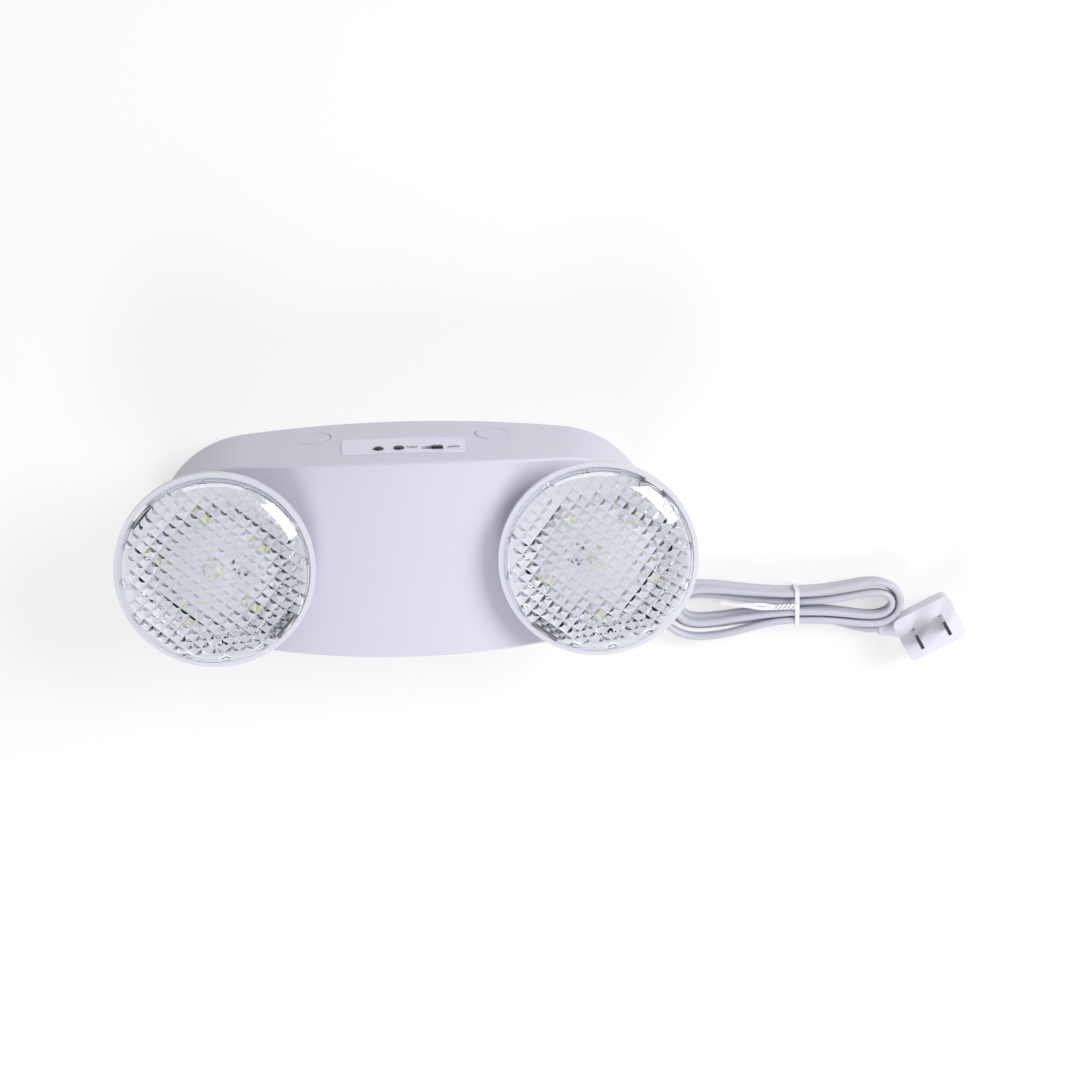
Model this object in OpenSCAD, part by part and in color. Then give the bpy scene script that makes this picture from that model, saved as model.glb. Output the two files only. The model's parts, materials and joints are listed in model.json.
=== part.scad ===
// Twin-head emergency light: an oval wall housing with two swivelling lamp
// heads, a switch panel on one long side and a flat mains cord in a hank.
// Millimetres. The flat back lies on z = 0 and +Z points away from the wall.
// The switch panel is on the +Y side and the cord leaves towards +X.

/* [Body] */
// Width of the body at its back
body_w = 206; // [200:1:216]
// Height of the body at its middle
body_h = 90; // [86:1:100]
// How much lower the round ends are than the middle, on each side
end_drop = 3.5; // [2:0.1:6]
// Depth of the body from the back to the front
body_d = 52.4; // [50:0.2:56]
// How much wider than the body the ellipse is that crowns the front
crown_over = 1; // [1:0.5:12]
// Lean of the side walls in degrees
draft = 4.6; // [3:0.1:6]
// Wall thickness of the cover
wall = 2.2; // [1.8:0.1:2.8]
// Thickness of the back plate
plate_t = 2.4; // [2:0.1:3]
// Gap around the back plate inside the cover
plate_fit = 0.25; // [0.15:0.05:0.5]
// Radius of the round knock-outs on the side wall
knock_r = 7.3; // [6:0.1:8]
// Distance of the knock-outs from the middle
knock_x = 36.5; // [34:0.5:42]
// Height of the knock-outs above the back
knock_z = 15.7; // [14:0.1:18]

/* [Wall fixing] */
// Distance of each keyhole from the body's end
key_in = 48; // [44:1:52]
// Radius of the keyhole's wide end
key_r = 4.5; // [4:0.1:5]
// Radius of the keyhole's slot
key_slot_r = 2.2; // [1.8:0.1:2.4]
// Length from the wide end to the end of the slot
key_travel = 6.5; // [5:0.5:7]
// Distance of the keyhole's wide end from the long side
key_down = 16; // [16:0.5:19]

/* [Lamp heads] */
// Outer radius of the rim
rim_r = 40.4; // [38:0.1:41]
// Width of the rim
rim_w = 2; // [1.6:0.1:2.6]
// Height of the rim's outer band
rim_h = 3; // [2.4:0.1:3.6]
// Height of the rim above the hinge pin
rim_up = 16; // [15.5:0.1:18]
// Depth of the back shell below the rim
head_depth = 10; // [9:0.1:10.2]
// Radius of the flat back of a head
head_flat_r = 24; // [22:0.5:25]
// Wall of the head shell
head_wall = 1.8; // [1.4:0.1:2]
// Thickness of the lens
lens_t = 1.5; // [1.2:0.1:1.8]
// Height of the lens above the rim
lens_rise = 7.2; // [5.5:0.1:8]
// Height of the lens edge above the rim
lens_edge = 2; // [1.5:0.1:2.5]
// Radius at which the lens shoulder starts
lens_flat_r = 29; // [26:0.5:31]
// Radius of the lamp board
board_r = 27.5; // [25:0.5:27.8]
// Thickness of the lamp board
lamp_board_t = 1.2; // [1:0.1:1.4]
// Height of the posts under the lamp board
lamp_post_h = 2.2; // [2.2:0.1:2.6]
// Radius of the ring of lamp chips
led_ring_r = 22; // [19:0.5:23]
// Width of a lamp chip
led_w = 5; // [3.5:0.1:5.5]
// Height of a lamp chip
led_h = 1.5; // [1:0.1:2]
// Width of a lens latch
latch_w = 8; // [6:0.5:10]

/* [Swivels] */
// Distance of each swivel's foot from the body's end
foot_in = 29.1; // [28:0.1:31]
// Height of the hinge pin above the body
pin_up = 6.75; // [6.7:0.05:7.5]
// Radius of the hinge pin
pin_r = 1.5; // [1.3:0.1:1.7]
// Width of the head's lug
lug_w = 7; // [6:0.1:8]
// Radius of the lug around the pin
lug_r = 3.3; // [3:0.1:3.3]
// Thickness of each ear
ear_t = 3.4; // [2.8:0.1:4]
// Radius of the ears
ear_r = 5; // [4.4:0.1:5.4]
// Radius of the swivel's flange
turn_r = 13; // [12:0.1:13.5]
// Thickness of the swivel's flange
turn_t = 2; // [1.6:0.1:2]
// Radius of the swivel's stem
stem_r = 7; // [6:0.1:7.5]
// Radius of the lamp lead's way through the stem
stem_bore_r = 4.4; // [3.5:0.1:4.6]
// Radial running clearance of stem and pin
run_fit = 0.05; // [0.03:0.01:0.1]

/* [Switch panel] */
// Width of the panel label
label_w = 50; // [46:1:54]
// Height of the panel label
label_h = 18; // [16:0.5:20]
// Thickness of the panel label
label_t = 0.3; // [0.2:0.05:0.5]
// Drop of the label's middle below the buttons
label_drop = 4; // [3:0.5:5]
// Height of the buttons above the back
panel_z = 35; // [33:0.1:36]
// Place of the test button across the panel
button_x = -1.9; // [-4:0.1:0]
// Radius of the test button
button_r = 2.1; // [1.8:0.1:2.3]
// Travel of the test button
button_travel = 0.8; // [0.5:0.1:0.9]
// Place of the indicator across the panel
lamp_x = -10.2; // [-13:0.1:-8]
// Radius of the indicator
lamp_r = 2.1; // [1.5:0.1:2.3]
// Place of the slide switch across the panel
slide_x = 11.5; // [10:0.1:13]
// Length of the slide switch's window
slide_l = 9; // [8:0.1:10]
// Height of the slide switch's window
slide_h = 3.6; // [3.2:0.1:4]
// Length of the slide switch's knob
knob_l = 4.4; // [4:0.1:4.8]

/* [Cord and plug] */
// Thickness of the flat cord
cord_t = 2.8; // [2.6:0.1:2.8]
// Width of the flat cord
cord_w = 5.2; // [4.8:0.1:5.2]
// Length of the plug's face
plug_l = 26.3; // [25:0.1:28]
// Width of the plug's face
plug_w = 19; // [18:0.1:20]
// Height of the plug's face above the table
plug_h = 15; // [14:0.1:16]
// Distance between the plug's blades
blade_gap = 12.7; // [12.6:0.1:12.8]
// Length of the blades
blade_l = 17; // [15.9:0.1:18.3]
// Width of the blades
blade_w = 6.35; // [6.2:0.05:6.5]
// Thickness of the blades
blade_t = 1.5; // [1.4:0.05:1.6]

/* [Hidden] */
over = 1;
fit = 0.3;
slip = 0.1;
skin = 0.05;
round_fn = 96;
bore_fn = 48;
sides = [-1, 1];

// Body outline: two round ends joined by long arcs that touch them
end_r = body_h / 2 - end_drop;
end_c = body_w / 2 - end_r;
crown_w = body_w + crown_over;
key_x = body_w / 2 - key_in;
key_y = body_h / 2 - key_down;
arc_r = (end_c * end_c + body_h * body_h / 4 - end_r * end_r) / (2 * end_drop);
arc_y = body_h / 2 - arc_r;
arc_turn = atan(-end_c / arc_y);
arc_steps = 8;
end_steps = 24;
crown_steps = 64;
function end_arc(r, c, a0, a1) = [for (i = [0:end_steps]) let (a = a0 + (a1 - a0) * i / end_steps)
    [c + r * cos(a), r * sin(a)]];
function long_arc(r, a0, a1) = [for (i = [1:arc_steps - 1]) let (a = a0 + (a1 - a0) * i / arc_steps)
    [r * sin(a), arc_y + r * cos(a)]];
function flip(points) = [for (p = points) -p];
function outline_points(in) = concat(
    end_arc(end_r - in, end_c, arc_turn - 90, 90 - arc_turn),
    long_arc(arc_r - in, arc_turn, -arc_turn),
    flip(end_arc(end_r - in, end_c, arc_turn - 90, 90 - arc_turn)),
    flip(long_arc(arc_r - in, arc_turn, -arc_turn)));
function crown_z(x, in = 0) = (body_d - in) * sqrt(1 - pow(x / (crown_w / 2 - in), 2));
function crown_points(in, z0) = let (a = crown_w / 2 - in) concat([[a, z0]],
    [for (i = [0:crown_steps]) [a * cos(180 * i / crown_steps), (body_d - in) * sin(180 * i / crown_steps)]],
    [[-a, z0]]);
function lean_share(half, z) = 1 - z * tan(draft) / half;
function wall_y(x, z, in = 0) = let (
    half = body_h / 2 - in,
    base_x = x / lean_share(body_w / 2 - in, z))
    (arc_y + sqrt(pow(arc_r - in, 2) - base_x * base_x)) * lean_share(half, z);

// Swivels: foot on the crown, axis square to it, hinge pin above
foot_x = body_w / 2 - foot_in;
foot_z = crown_z(foot_x);
lean = atan(pow(2 * body_d / crown_w, 2) * foot_x / foot_z);
pin_x = foot_x + pin_up * sin(lean);
pin_z = foot_z + pin_up * cos(lean);
boss_edge = 2;
boss_r = turn_r + boss_edge;
boss_up = 1;
boss_in = 5;
boss_in_r = 11;
flange_z = boss_up - pin_up + slip;
clip_r = 10.5;
clip_t = 1;
clip_mouth_share = 0.8;
groove_r = stem_r - 1;
groove_z = -pin_up - boss_in - slip;
stem_tip = 1.4;
bolt_head_r = 2.8;
bolt_head_t = 1.8;
nut_r = 3.1;
nut_t = 2.4;
lug_base_l = 12;
ear_l = 2 * ear_r;

// Lamp heads, measured from the hinge pin
head_turns = [140, 53];
led_turns = [98, -91];
led_count = 5;
back_z = rim_up - head_depth;
floor_z = back_z + head_wall;
cone_rise = (rim_up - rim_h - back_z) / (rim_r - rim_w - head_flat_r);
function cone_in_z(r) = back_z + head_wall * sqrt(1 + cone_rise * cone_rise) + cone_rise * (r - head_flat_r);
seat_r = rim_r - rim_w;
ledge_r = seat_r - 2;
ledge_z = cone_in_z(ledge_r);
floor_r = head_flat_r - (cone_in_z(head_flat_r) - floor_z) / cone_rise;
board_z = floor_z + lamp_post_h;
board_top = board_z + lamp_board_t;
lens_out_r = seat_r - 2 * slip;
skirt_t = 1.1;
reflector_t = 1;
reflector_gap = 1.4;
reflector_r = seat_r - reflector_gap;
shoulder_steps = 12;
lamp_posts = 3;
lamp_post_ring = 13;
lamp_post_r = 2.5;
lead_hole_x = 10;
lead_hole_r = 1.8;
lead_d = 2.4;
lead_out = 2.4;
lead_bend = 1;
latch_drop = 2.4;
latch_play = 0.5;

// Inside the body
plate_in = wall + plate_fit + plate_t * tan(draft);
screw_r = 1.4;
screw_head_r = 2.8;
screw_head_h = 1.5;
screw_slot = 0.6;
plate_boss_r = 3.4;
plate_screw_l = 12;
knock_groove = 0.8;
center_knock_r = 11;
post_r = 3;
board_in = 23;
board_l = body_w / 2 - board_in;
board_w = 48;
board_t = 1.6;
board_lift = 7.6;
board_edge = 4.5;
main_z = plate_t + board_lift;
main_top = main_z + board_t;
small_screw_r = 1.1;
small_head_r = 2.2;
small_head_h = 1.5;
small_screw_l = 5.5;
cell_r = 7.1;
cell_l = 48.5;
cell_pitch = 2 * cell_r + 2 * slip;
cell_count = 3;
cell_in = 46;
cell_x = cell_in - body_w / 2;
cell_rib = 1;
wrap_t = 0.3;
cell_z = plate_t + cell_rib + wrap_t + slip + cell_r;
strap_shift = 14;
strap_x = cell_x - strap_shift;
strap_w = 10;
strap_t = 1;
strap_post_h = 4;
strap_foot = 7;
strap_in = cell_pitch + cell_r + wrap_t + slip + fit;
core_size = [14, 34, 28];
core_window = [6, 16];
core_leg = 12;
core_at = [22, 0];
coil_l = 26;
capacitors = [[board_l - 22, -16, 5, 16], [board_l - 12, -17, 4, 12], [33, 18, 3.2, 11]];
relay_size = [19, 12, 15];
relay_at = [board_l - 17, 14.5];
socket_size = [6, 8, 7];
sockets = [[5, -4], [5, 8], [board_l - 8, 4], [board_l - 8, -7]];
function socket_top(i) = [sockets[i][0], sockets[i][1], main_top + socket_size[2]];
function into_socket(i) = [socket_top(i) + [0, 0, wire_rise], socket_top(i)];
socket_side = socket_top(1) - [socket_size[0] / 2, 0, lead_d / 2 + fit];
cell_end = [cell_x + cell_l / 2 + cell_rib, 0, cell_z];
link_x = 9;
link_route = [[6, 12, 26.6], [8, 24.4, 32]];
battery_bend = [10, -1, 6];
left_route = [[-15, 6, 21.6], [-38, 3, 23.6]];
left_bends = [[8.7, 1, -2.5], [5, 0, -3.5]];
right_bends = [[-3, -3, 4], [-8.3, -4, 3.4]];
supply_bends = [[-4, 7, 3], [9, -5, -2], [5, -2, 3]];
switch_board_l = 50;
switch_board_h = 16;
switch_board_t = 1.6;
switch_board_in = 6;
switch_post_x = 21.5;
switch_y = wall_y(0, panel_z) - wall - switch_board_in;
plate_screw_in = 9.8;
plate_screw_y = body_h / 2 - plate_screw_in;
plate_screw_gap = [21, 9];
plate_screw_places = [for (x = sides) each [[x * (key_x - plate_screw_gap[0]), -plate_screw_y],
    [x * (switch_board_l / 2 + plate_screw_gap[1]), plate_screw_y]]];
tact_w = 6;
tact_t = 2.9;
tact_nub = 0.4;
button_flange_r = 3.1;
button_flange_t = 0.8;
button_proud = 1;
button_play = 0.15;
button_gap = button_travel + button_play;
switch_body = [14, 5, 7];
switch_channel = 3;
knob_h = 3;
knob_stem = [2.2, 2];
knob_proud = 1.2;
knob_ribs = 4;
dome_share = 0.5;
wire_rise = 3;
cell_rise = 5;
lead_drop = 4;

// Cord route: on edge from the gland, three loops in two layers, then the plug
gland_turn = -43;
gland_z = 8;
gland_flange_r = 5.5;
gland_flange_t = 2;
gland_neck_r = 4.6;
gland_relief_l = 20;
gland_pad = 0.6;
gland_tip_r = 3.2;
gland_in = 2;
gland_grooves = 3;
gland_ray = [cos(gland_turn), sin(gland_turn), 0];
gland_out = [end_c, 0, gland_z] + gland_ray * (end_r - gland_z * tan(draft) + gland_pad);
gland_tip = gland_out + gland_ray * (gland_flange_t + gland_relief_l);
function from_gland(points) = [for (p = points) gland_out + p];
loops = 3;
loop_rings = 24;
loop_step = 3.55;
loop_half = 43.9;
loop_at = [67.2, -8.3];
loop_mid = [gland_out[0] + loop_at[0], gland_out[1] + loop_at[1]];
loop_lobe = 11.4;
loop_waist = 1.5;
loop_shift = 4.1;
bulge_share = 0.12;
loop_dip = 1;
climb_share = 0.15;
dip_share = 0.29;
turn_share = 0.04;
layer_gap = 0.5;
tie_lift = 0.8;
tie_t = 0.6;
tie_w = 3;
tie_steps = 2.5;
tie_twist_l = 8;
tie_tail_l = 22;
tie_turn = 8;
low_z = cord_w / 2;
function ease(x) = let (u = min(1, max(0, x))) u * u * (3 - 2 * u);
function loop_off(t) = let (d = abs(t - loops / 2))
    loop_step * (sqrt(d * d + turn_share * turn_share) - turn_share)
    - loop_dip * (1 - ease((d - climb_share) / (dip_share - climb_share)));
function loop_base(a) = [
    loop_half * cos(a) * (1 + bulge_share * pow(sin(a), 2)) + loop_shift * pow(sin(a), 4),
    sin(a) * (loop_lobe * pow(cos(a), 2) + loop_waist * pow(sin(a), 2))];
function unit(v) = v / norm(v);
function loop_point(t) = let (
    a = 360 * t - 90,
    p = loop_base(a),
    ahead = unit(loop_base(a + 0.1) - loop_base(a - 0.1)),
    q = loop_mid + p + [ahead[1], -ahead[0]] * loop_off(t),
    down = ease((t - loops / 2 + climb_share) / (2 * climb_share)))
    [q[0], q[1], low_z + (cord_w + layer_gap) * (1 - down) + tie_lift * pow(sin(a), 8)];
hank_points = [for (i = [0:loops * loop_rings]) loop_point(i / loop_rings)];
hank_start = hank_points[0];
hank_end = hank_points[len(hank_points) - 1];
lead_route = [[20.6, -18.7, -0.3], [23.4, -20.2, -0.8], [26.7, -21.2, -1.1], [30, -21.6, -1.2],
    [34, -21.5, -1], [41.5, -20.3, 0.1], [49.5, -18.4, 0.4], [57.5, -16.4, 0.7], [64.5, -15.2, 1]];
lead_points = concat([gland_tip, gland_tip + gland_ray * cord_w / 2], from_gland(lead_route),
    [hank_start - [cord_t, 0, 0], hank_start]);
plug_turn = 26.5;
plug_tilt = 9;
plug_from = [126.9, -18.9];
plug_at = gland_out + [plug_from[0], plug_from[1], plug_h - gland_z];
plug_corner = 3;
nose_l = 7;
nose_sink = 3;
nose_from = [113.6, -21.3, -3.4];
nose_at = gland_out + nose_from;
nose_tip = nose_at - [nose_l, 0, 0];
tail_route = [[80.2, -15.7, -4.8], [88.2, -17.9, -5.1], [95.2, -20, -4.7], [100.2, -21, -4]];
tail_points = concat([hank_end, hank_end + [cord_t, 0, 0]], from_gland(tail_route),
    [nose_tip - [cord_t, 0, 0], nose_tip]);

// Least gap of the hank to itself, measured from each ring to each later run
function to_run(p, a, b) = let (
    d = [b[0] - a[0], b[1] - a[1]],
    u = min(1, max(0, ([p[0] - a[0], p[1] - a[1]] * d) / (d * d))),
    q = a + u * (b - a))
    max(norm([p[0] - q[0], p[1] - q[1]]) - cord_t, abs(p[2] - q[2]) - cord_w);
hank_gap = min([for (i = [0:len(hank_points) - 1]) for (j = [0:len(hank_points) - 2])
    if (abs(i - j) > 3 && abs(i - j - 1) > 3) to_run(hank_points[i], hank_points[j], hank_points[j + 1])]);
echo(hank_gap = hank_gap);

// Swept tube: an oval section stood on edge along a route
function ahead(points, i, first, last) =
    i == 0 ? first : i == len(points) - 1 ? last : unit(points[i + 1] - points[i - 1]);
function section(n, w, h) = [for (k = [0:n - 1]) let (a = 360 * (k + 0.5) / n + 90 * (n == 6 ? 1 : 0))
    [w / 2 * cos(a) / cos(180 / n), h / 2 * sin(a) / (n == 6 ? 1 : cos(180 / n))]];
function ring(p, along, cut, up) = let (side = unit(cross(along, up)), rise = cross(side, along))
    [for (s = cut) p + side * s[0] + rise * s[1]];
module tube(points, n, w, h, first, last, up = [0, 0, 1]) {
    cut = section(n, w, h);
    count = len(points);
    rings = [for (i = [0:count - 1]) each ring(points[i], ahead(points, i, first, last), cut, up)];
    faces = concat(
        [[for (k = [n - 1:-1:0]) k]],
        [[for (k = [0:n - 1]) (count - 1) * n + k]],
        [for (i = [0:count - 2]) for (k = [0:n - 1]) let (m = (k + 1) % n)
            each [[i * n + k, (i + 1) * n + m, (i + 1) * n + k], [i * n + k, i * n + m, (i + 1) * n + m]]]);
    polyhedron(rings, faces);
}
module wire(points, d, up = [0, 0, 1]) {
    last = len(points) - 1;
    tube(points, 6, d, d, unit(points[1] - points[0]), unit(points[last] - points[last - 1]), up);
}

white = "#e4e1ee";
clear = "#dfe6ee";
metal = "#b9bcc2";
board_green = "#3f7f52";

// Frames of reference
module at_pin(s) translate([s * pin_x, 0, pin_z]) rotate([0, s * lean, 0]) children();
module at_head(s) translate([s * pin_x, 0, pin_z]) children();
module along_y() rotate([-90, 0, 0]) children();

module body_form(in, z0 = 0) {
    half_w = body_w / 2 - in - z0 * tan(draft);
    half_h = body_h / 2 - in - z0 * tan(draft);
    rise = body_d - z0;
    intersection() {
        translate([0, 0, z0])
            linear_extrude(rise, scale = [lean_share(half_w, rise), lean_share(half_h, rise)], slices = 1)
                polygon(outline_points(in + z0 * tan(draft)));
        rotate([90, 0, 0])
            linear_extrude(body_h + over, center = true)
                polygon(crown_points(in, z0));
    }
}

module swivel_boss() {
    translate([0, 0, -pin_up - wall]) cylinder(r = boss_r, h = wall + boss_up, $fn = round_fn);
    translate([0, 0, -pin_up - boss_in]) cylinder(r = boss_in_r, h = boss_in, $fn = round_fn);
}

module wall_knock_out(x) {
    translate([x, wall_y(x, knock_z), knock_z]) rotate([draft - 90, 0, 0]) difference() {
        cylinder(r = knock_r, h = 2 * knock_groove, center = true, $fn = bore_fn);
        cylinder(r = knock_r - knock_groove, h = 2 * knock_groove + over, center = true, $fn = bore_fn);
    }
}

module front_cover() color(white) difference() {
    union() {
        difference() {
            body_form(0);
            body_form(wall, -over);
        }
        for (s = sides) at_pin(s) swivel_boss();
        intersection() {
            for (p = plate_screw_places) translate([p[0], p[1], plate_t])
                cylinder(r = plate_boss_r, h = body_d, $fn = bore_fn);
            body_form(wall / 2);
        }
        translate(gland_out) rotate([0, 90, gland_turn]) translate([0, 0, -wall - gland_pad])
            cylinder(r = gland_flange_r, h = wall + gland_pad, $fn = bore_fn);
        for (x = sides) translate([x * switch_post_x, switch_y, panel_z])
            along_y()
                cylinder(r = post_r, h = wall_y(switch_post_x, panel_z) - wall / 2 - switch_y, $fn = bore_fn);
    }
    for (s = sides) at_pin(s) translate([0, 0, -pin_up - boss_in - over])
        cylinder(r = stem_r + run_fit, h = boss_in + boss_up + 2 * over, $fn = round_fn);
    for (p = plate_screw_places) translate([p[0], p[1], plate_t - over])
        cylinder(r = screw_r + skin, h = plate_screw_l, $fn = bore_fn);
    for (x = sides) translate([x * switch_post_x, switch_y - over, panel_z])
        along_y() cylinder(r = small_screw_r + skin, h = small_screw_l, $fn = bore_fn);
    translate([button_x, switch_y, panel_z])
        along_y() cylinder(r = button_r + slip, h = body_h, $fn = bore_fn);
    translate([lamp_x, switch_y, panel_z])
        along_y() cylinder(r = lamp_r + slip, h = body_h, $fn = bore_fn);
    translate([slide_x - slide_l / 2, switch_y, panel_z - slide_h / 2]) cube([slide_l, body_h, slide_h]);
    for (x = sides) wall_knock_out(x * knock_x);
    translate([end_c, 0, gland_z]) rotate([0, 90, gland_turn])
        cylinder(r = gland_neck_r + slip, h = body_h, $fn = bore_fn);
}

module key_cut(s) {
    translate([s * key_x, -key_y, -over]) {
        cylinder(r = key_r, h = plate_t + 2 * over, $fn = bore_fn);
        translate([0, -key_travel, 0]) cylinder(r = key_slot_r, h = plate_t + 2 * over, $fn = bore_fn);
        translate([-key_slot_r, -key_travel, 0]) cube([2 * key_slot_r, key_travel, plate_t + 2 * over]);
    }
}

module screw_sink(clear_r) {
    translate([0, 0, -skin])
        cylinder(r1 = screw_head_r + clear_r, r2 = screw_r + clear_r, h = screw_head_h + skin, $fn = bore_fn);
    cylinder(r = screw_r + clear_r, h = plate_t + over, $fn = bore_fn);
}

board_posts = [for (x = [board_edge, board_l - board_edge], y = sides) [x, y * (board_w / 2 - board_edge)]];
strap_posts = [for (y = sides) [strap_x, y * (strap_in + strap_t + strap_foot / 2)]];

module back_plate() color(white) difference() {
    union() {
        linear_extrude(plate_t) polygon(outline_points(plate_in));
        for (p = board_posts) translate([p[0], p[1], 0]) cylinder(r = post_r, h = main_z, $fn = bore_fn);
        for (p = strap_posts) translate([p[0], p[1], 0])
            cylinder(r = post_r, h = plate_t + strap_post_h, $fn = bore_fn);
        for (x = sides) translate([cell_x + x * cell_l / 3 - cell_rib, -cell_pitch, 0])
            cube([2 * cell_rib, 2 * cell_pitch, plate_t + cell_rib]);
    }
    for (s = sides) key_cut(s);
    for (p = plate_screw_places) translate([p[0], p[1], 0]) screw_sink(slip);
    for (p = board_posts) translate([p[0], p[1], main_z - small_screw_l])
        cylinder(r = small_screw_r + skin, h = small_screw_l + over, $fn = bore_fn);
    for (p = strap_posts) translate([p[0], p[1], plate_t + strap_post_h - small_screw_l])
        cylinder(r = small_screw_r + skin, h = small_screw_l + over, $fn = bore_fn);
    translate([0, 0, plate_t - knock_groove]) difference() {
        cylinder(r = center_knock_r, h = knock_groove + over, $fn = bore_fn);
        cylinder(r = center_knock_r - knock_groove, h = knock_groove + over, $fn = bore_fn);
    }
}

module plate_screws() color(metal)
    for (p = plate_screw_places) translate([p[0], p[1], 0]) difference() {
        union() {
            cylinder(r1 = screw_head_r, r2 = screw_r, h = screw_head_h, $fn = bore_fn);
            cylinder(r = screw_r, h = plate_screw_l - over, $fn = bore_fn);
        }
        for (a = [0, 90]) rotate([0, 0, a])
            translate([0, 0, screw_head_h / 4]) cube([screw_head_r, screw_slot, screw_head_h], center = true);
    }

module panel_label() color("#f3f2f8") {
    turn = asin(label_w / 2 / arc_r) / arc_steps;
    label_z = panel_z - label_drop;
    difference() {
        translate([0, wall_y(0, label_z) + skin, label_z]) rotate([draft, 0, 0])
            translate([0, -arc_r, 0]) linear_extrude(label_h, center = true) polygon(concat(
                [for (i = [-arc_steps:arc_steps]) arc_r * [sin(turn * i), cos(turn * i)]],
                [for (i = [arc_steps:-1:-arc_steps]) (arc_r + label_t) * [sin(turn * i), cos(turn * i)]]));
        translate([button_x, 0, panel_z]) along_y() cylinder(r = button_r + slip, h = body_h, $fn = bore_fn);
        translate([lamp_x, 0, panel_z]) along_y() cylinder(r = lamp_r + slip, h = body_h, $fn = bore_fn);
        translate([slide_x - slide_l / 2, 0, panel_z - slide_h / 2]) cube([slide_l, body_h, slide_h]);
    }
}

module test_button() color("#2b2b31") {
    top_y = wall_y(button_x, panel_z) + button_proud;
    foot_y = switch_y + tact_t + tact_nub + button_gap;
    translate([button_x, foot_y, panel_z]) along_y() {
        cylinder(r = button_r, h = top_y - foot_y, $fn = bore_fn);
        cylinder(r = button_flange_r, h = button_flange_t, $fn = bore_fn);
    }
}

module indicator_lamp() color("#3a3b40") {
    tip_y = wall_y(lamp_x, panel_z) + label_t;
    translate([lamp_x, switch_y, panel_z]) along_y() {
        cylinder(r = lamp_r, h = tip_y - switch_y, $fn = bore_fn);
        translate([0, 0, tip_y - switch_y]) scale([1, 1, dome_share]) sphere(r = lamp_r, $fn = 32);
    }
}

module button_switch() color("#3c3c40")
    translate([button_x, switch_y, panel_z]) {
        translate([-tact_w / 2, 0, -tact_w / 2]) cube([tact_w, tact_t, tact_w]);
        along_y() cylinder(r = tact_w / 4, h = tact_t + tact_nub, $fn = bore_fn);
    }

module slide_switch() color("#8d9096") difference() {
    translate([slide_x, switch_y + switch_body[1] / 2, panel_z]) cube(switch_body, center = true);
    translate([slide_x - slide_l / 2, switch_y + switch_body[1] - switch_channel,
        panel_z - knob_stem[1] / 2 - fit])
        cube([slide_l, switch_channel + over, knob_stem[1] + 2 * fit]);
}

module switch_knob() color("#26262b") {
    rest_x = slide_x + (slide_l - knob_l) / 2 - fit;
    foot_y = switch_y + switch_body[1] - switch_channel + fit;
    cap_y = switch_y + switch_body[1] + fit / 2;
    top_y = wall_y(rest_x, panel_z) + knob_proud;
    difference() {
        union() {
            translate([rest_x - knob_stem[0] / 2, foot_y, panel_z - knob_stem[1] / 2])
                cube([knob_stem[0], cap_y - foot_y + skin, knob_stem[1]]);
            translate([rest_x - knob_l / 2, cap_y, panel_z - knob_h / 2])
                cube([knob_l, top_y - cap_y, knob_h]);
        }
        for (i = [0:knob_ribs - 1])
            translate([rest_x + (i + 0.5 - knob_ribs / 2) * knob_l / knob_ribs, top_y, panel_z])
                rotate([0, 0, 45]) cube([2 * fit, 2 * fit, knob_h + over], center = true);
    }
}

module switch_board() color(board_green) difference() {
    translate([-switch_board_l / 2, switch_y - switch_board_t, panel_z - switch_board_h / 2])
        cube([switch_board_l, switch_board_t, switch_board_h]);
    for (x = sides) translate([x * switch_post_x, switch_y - switch_board_t - over, panel_z])
        along_y() cylinder(r = small_screw_r + skin, h = switch_board_t + 2 * over, $fn = bore_fn);
}

module main_board() color(board_green) difference() {
    translate([0, -board_w / 2, main_z]) cube([board_l, board_w, board_t]);
    for (p = board_posts) translate([p[0], p[1], main_z - over])
        cylinder(r = small_screw_r + skin, h = board_t + 2 * over, $fn = bore_fn);
}

module small_screw(l) {
    translate([0, 0, -l]) cylinder(r = small_screw_r, h = l + small_head_h / 2, $fn = bore_fn);
    cylinder(r = small_head_r, h = small_head_h, $fn = bore_fn);
}

module board_screws() color(metal) {
    for (p = board_posts) translate([p[0], p[1], main_top]) small_screw(small_screw_l);
    for (x = sides) translate([x * switch_post_x, switch_y - switch_board_t, panel_z])
        rotate([90, 0, 0]) small_screw(small_screw_l - over);
}

module transformer_core() color("#5b5e66") difference() {
    translate([core_at[0] - core_size[0] / 2, core_at[1] - core_size[1] / 2, main_top]) cube(core_size);
    for (y = sides) translate([core_at[0] - core_size[0],
        core_at[1] + y * (core_leg + core_window[0]) / 2 - core_window[0] / 2,
        main_top + (core_size[2] - core_window[1]) / 2])
        cube([2 * core_size[0], core_window[0], core_window[1]]);
}

module transformer_coil() color("#d9b23c")
    translate([core_at[0], core_at[1], main_top + core_size[2] / 2]) difference() {
        cube([coil_l, core_leg + 2 * core_window[0] - 2 * slip, core_window[1] - 2 * slip], center = true);
        cube([core_size[0] + 2 * slip, core_leg + 2 * slip, core_window[1] + over], center = true);
    }

module capacitors() color("#2d3550")
    for (c = capacitors) translate([c[0], c[1], main_top]) cylinder(r = c[2], h = c[3], $fn = bore_fn);

module relay() color("#2c4f8a")
    translate([relay_at[0] - relay_size[0] / 2, relay_at[1] - relay_size[1] / 2, main_top]) cube(relay_size);

module wire_sockets() color("#efeee6")
    for (p = sockets)
        translate([p[0] - socket_size[0] / 2, p[1] - socket_size[1] / 2, main_top]) cube(socket_size);

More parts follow.
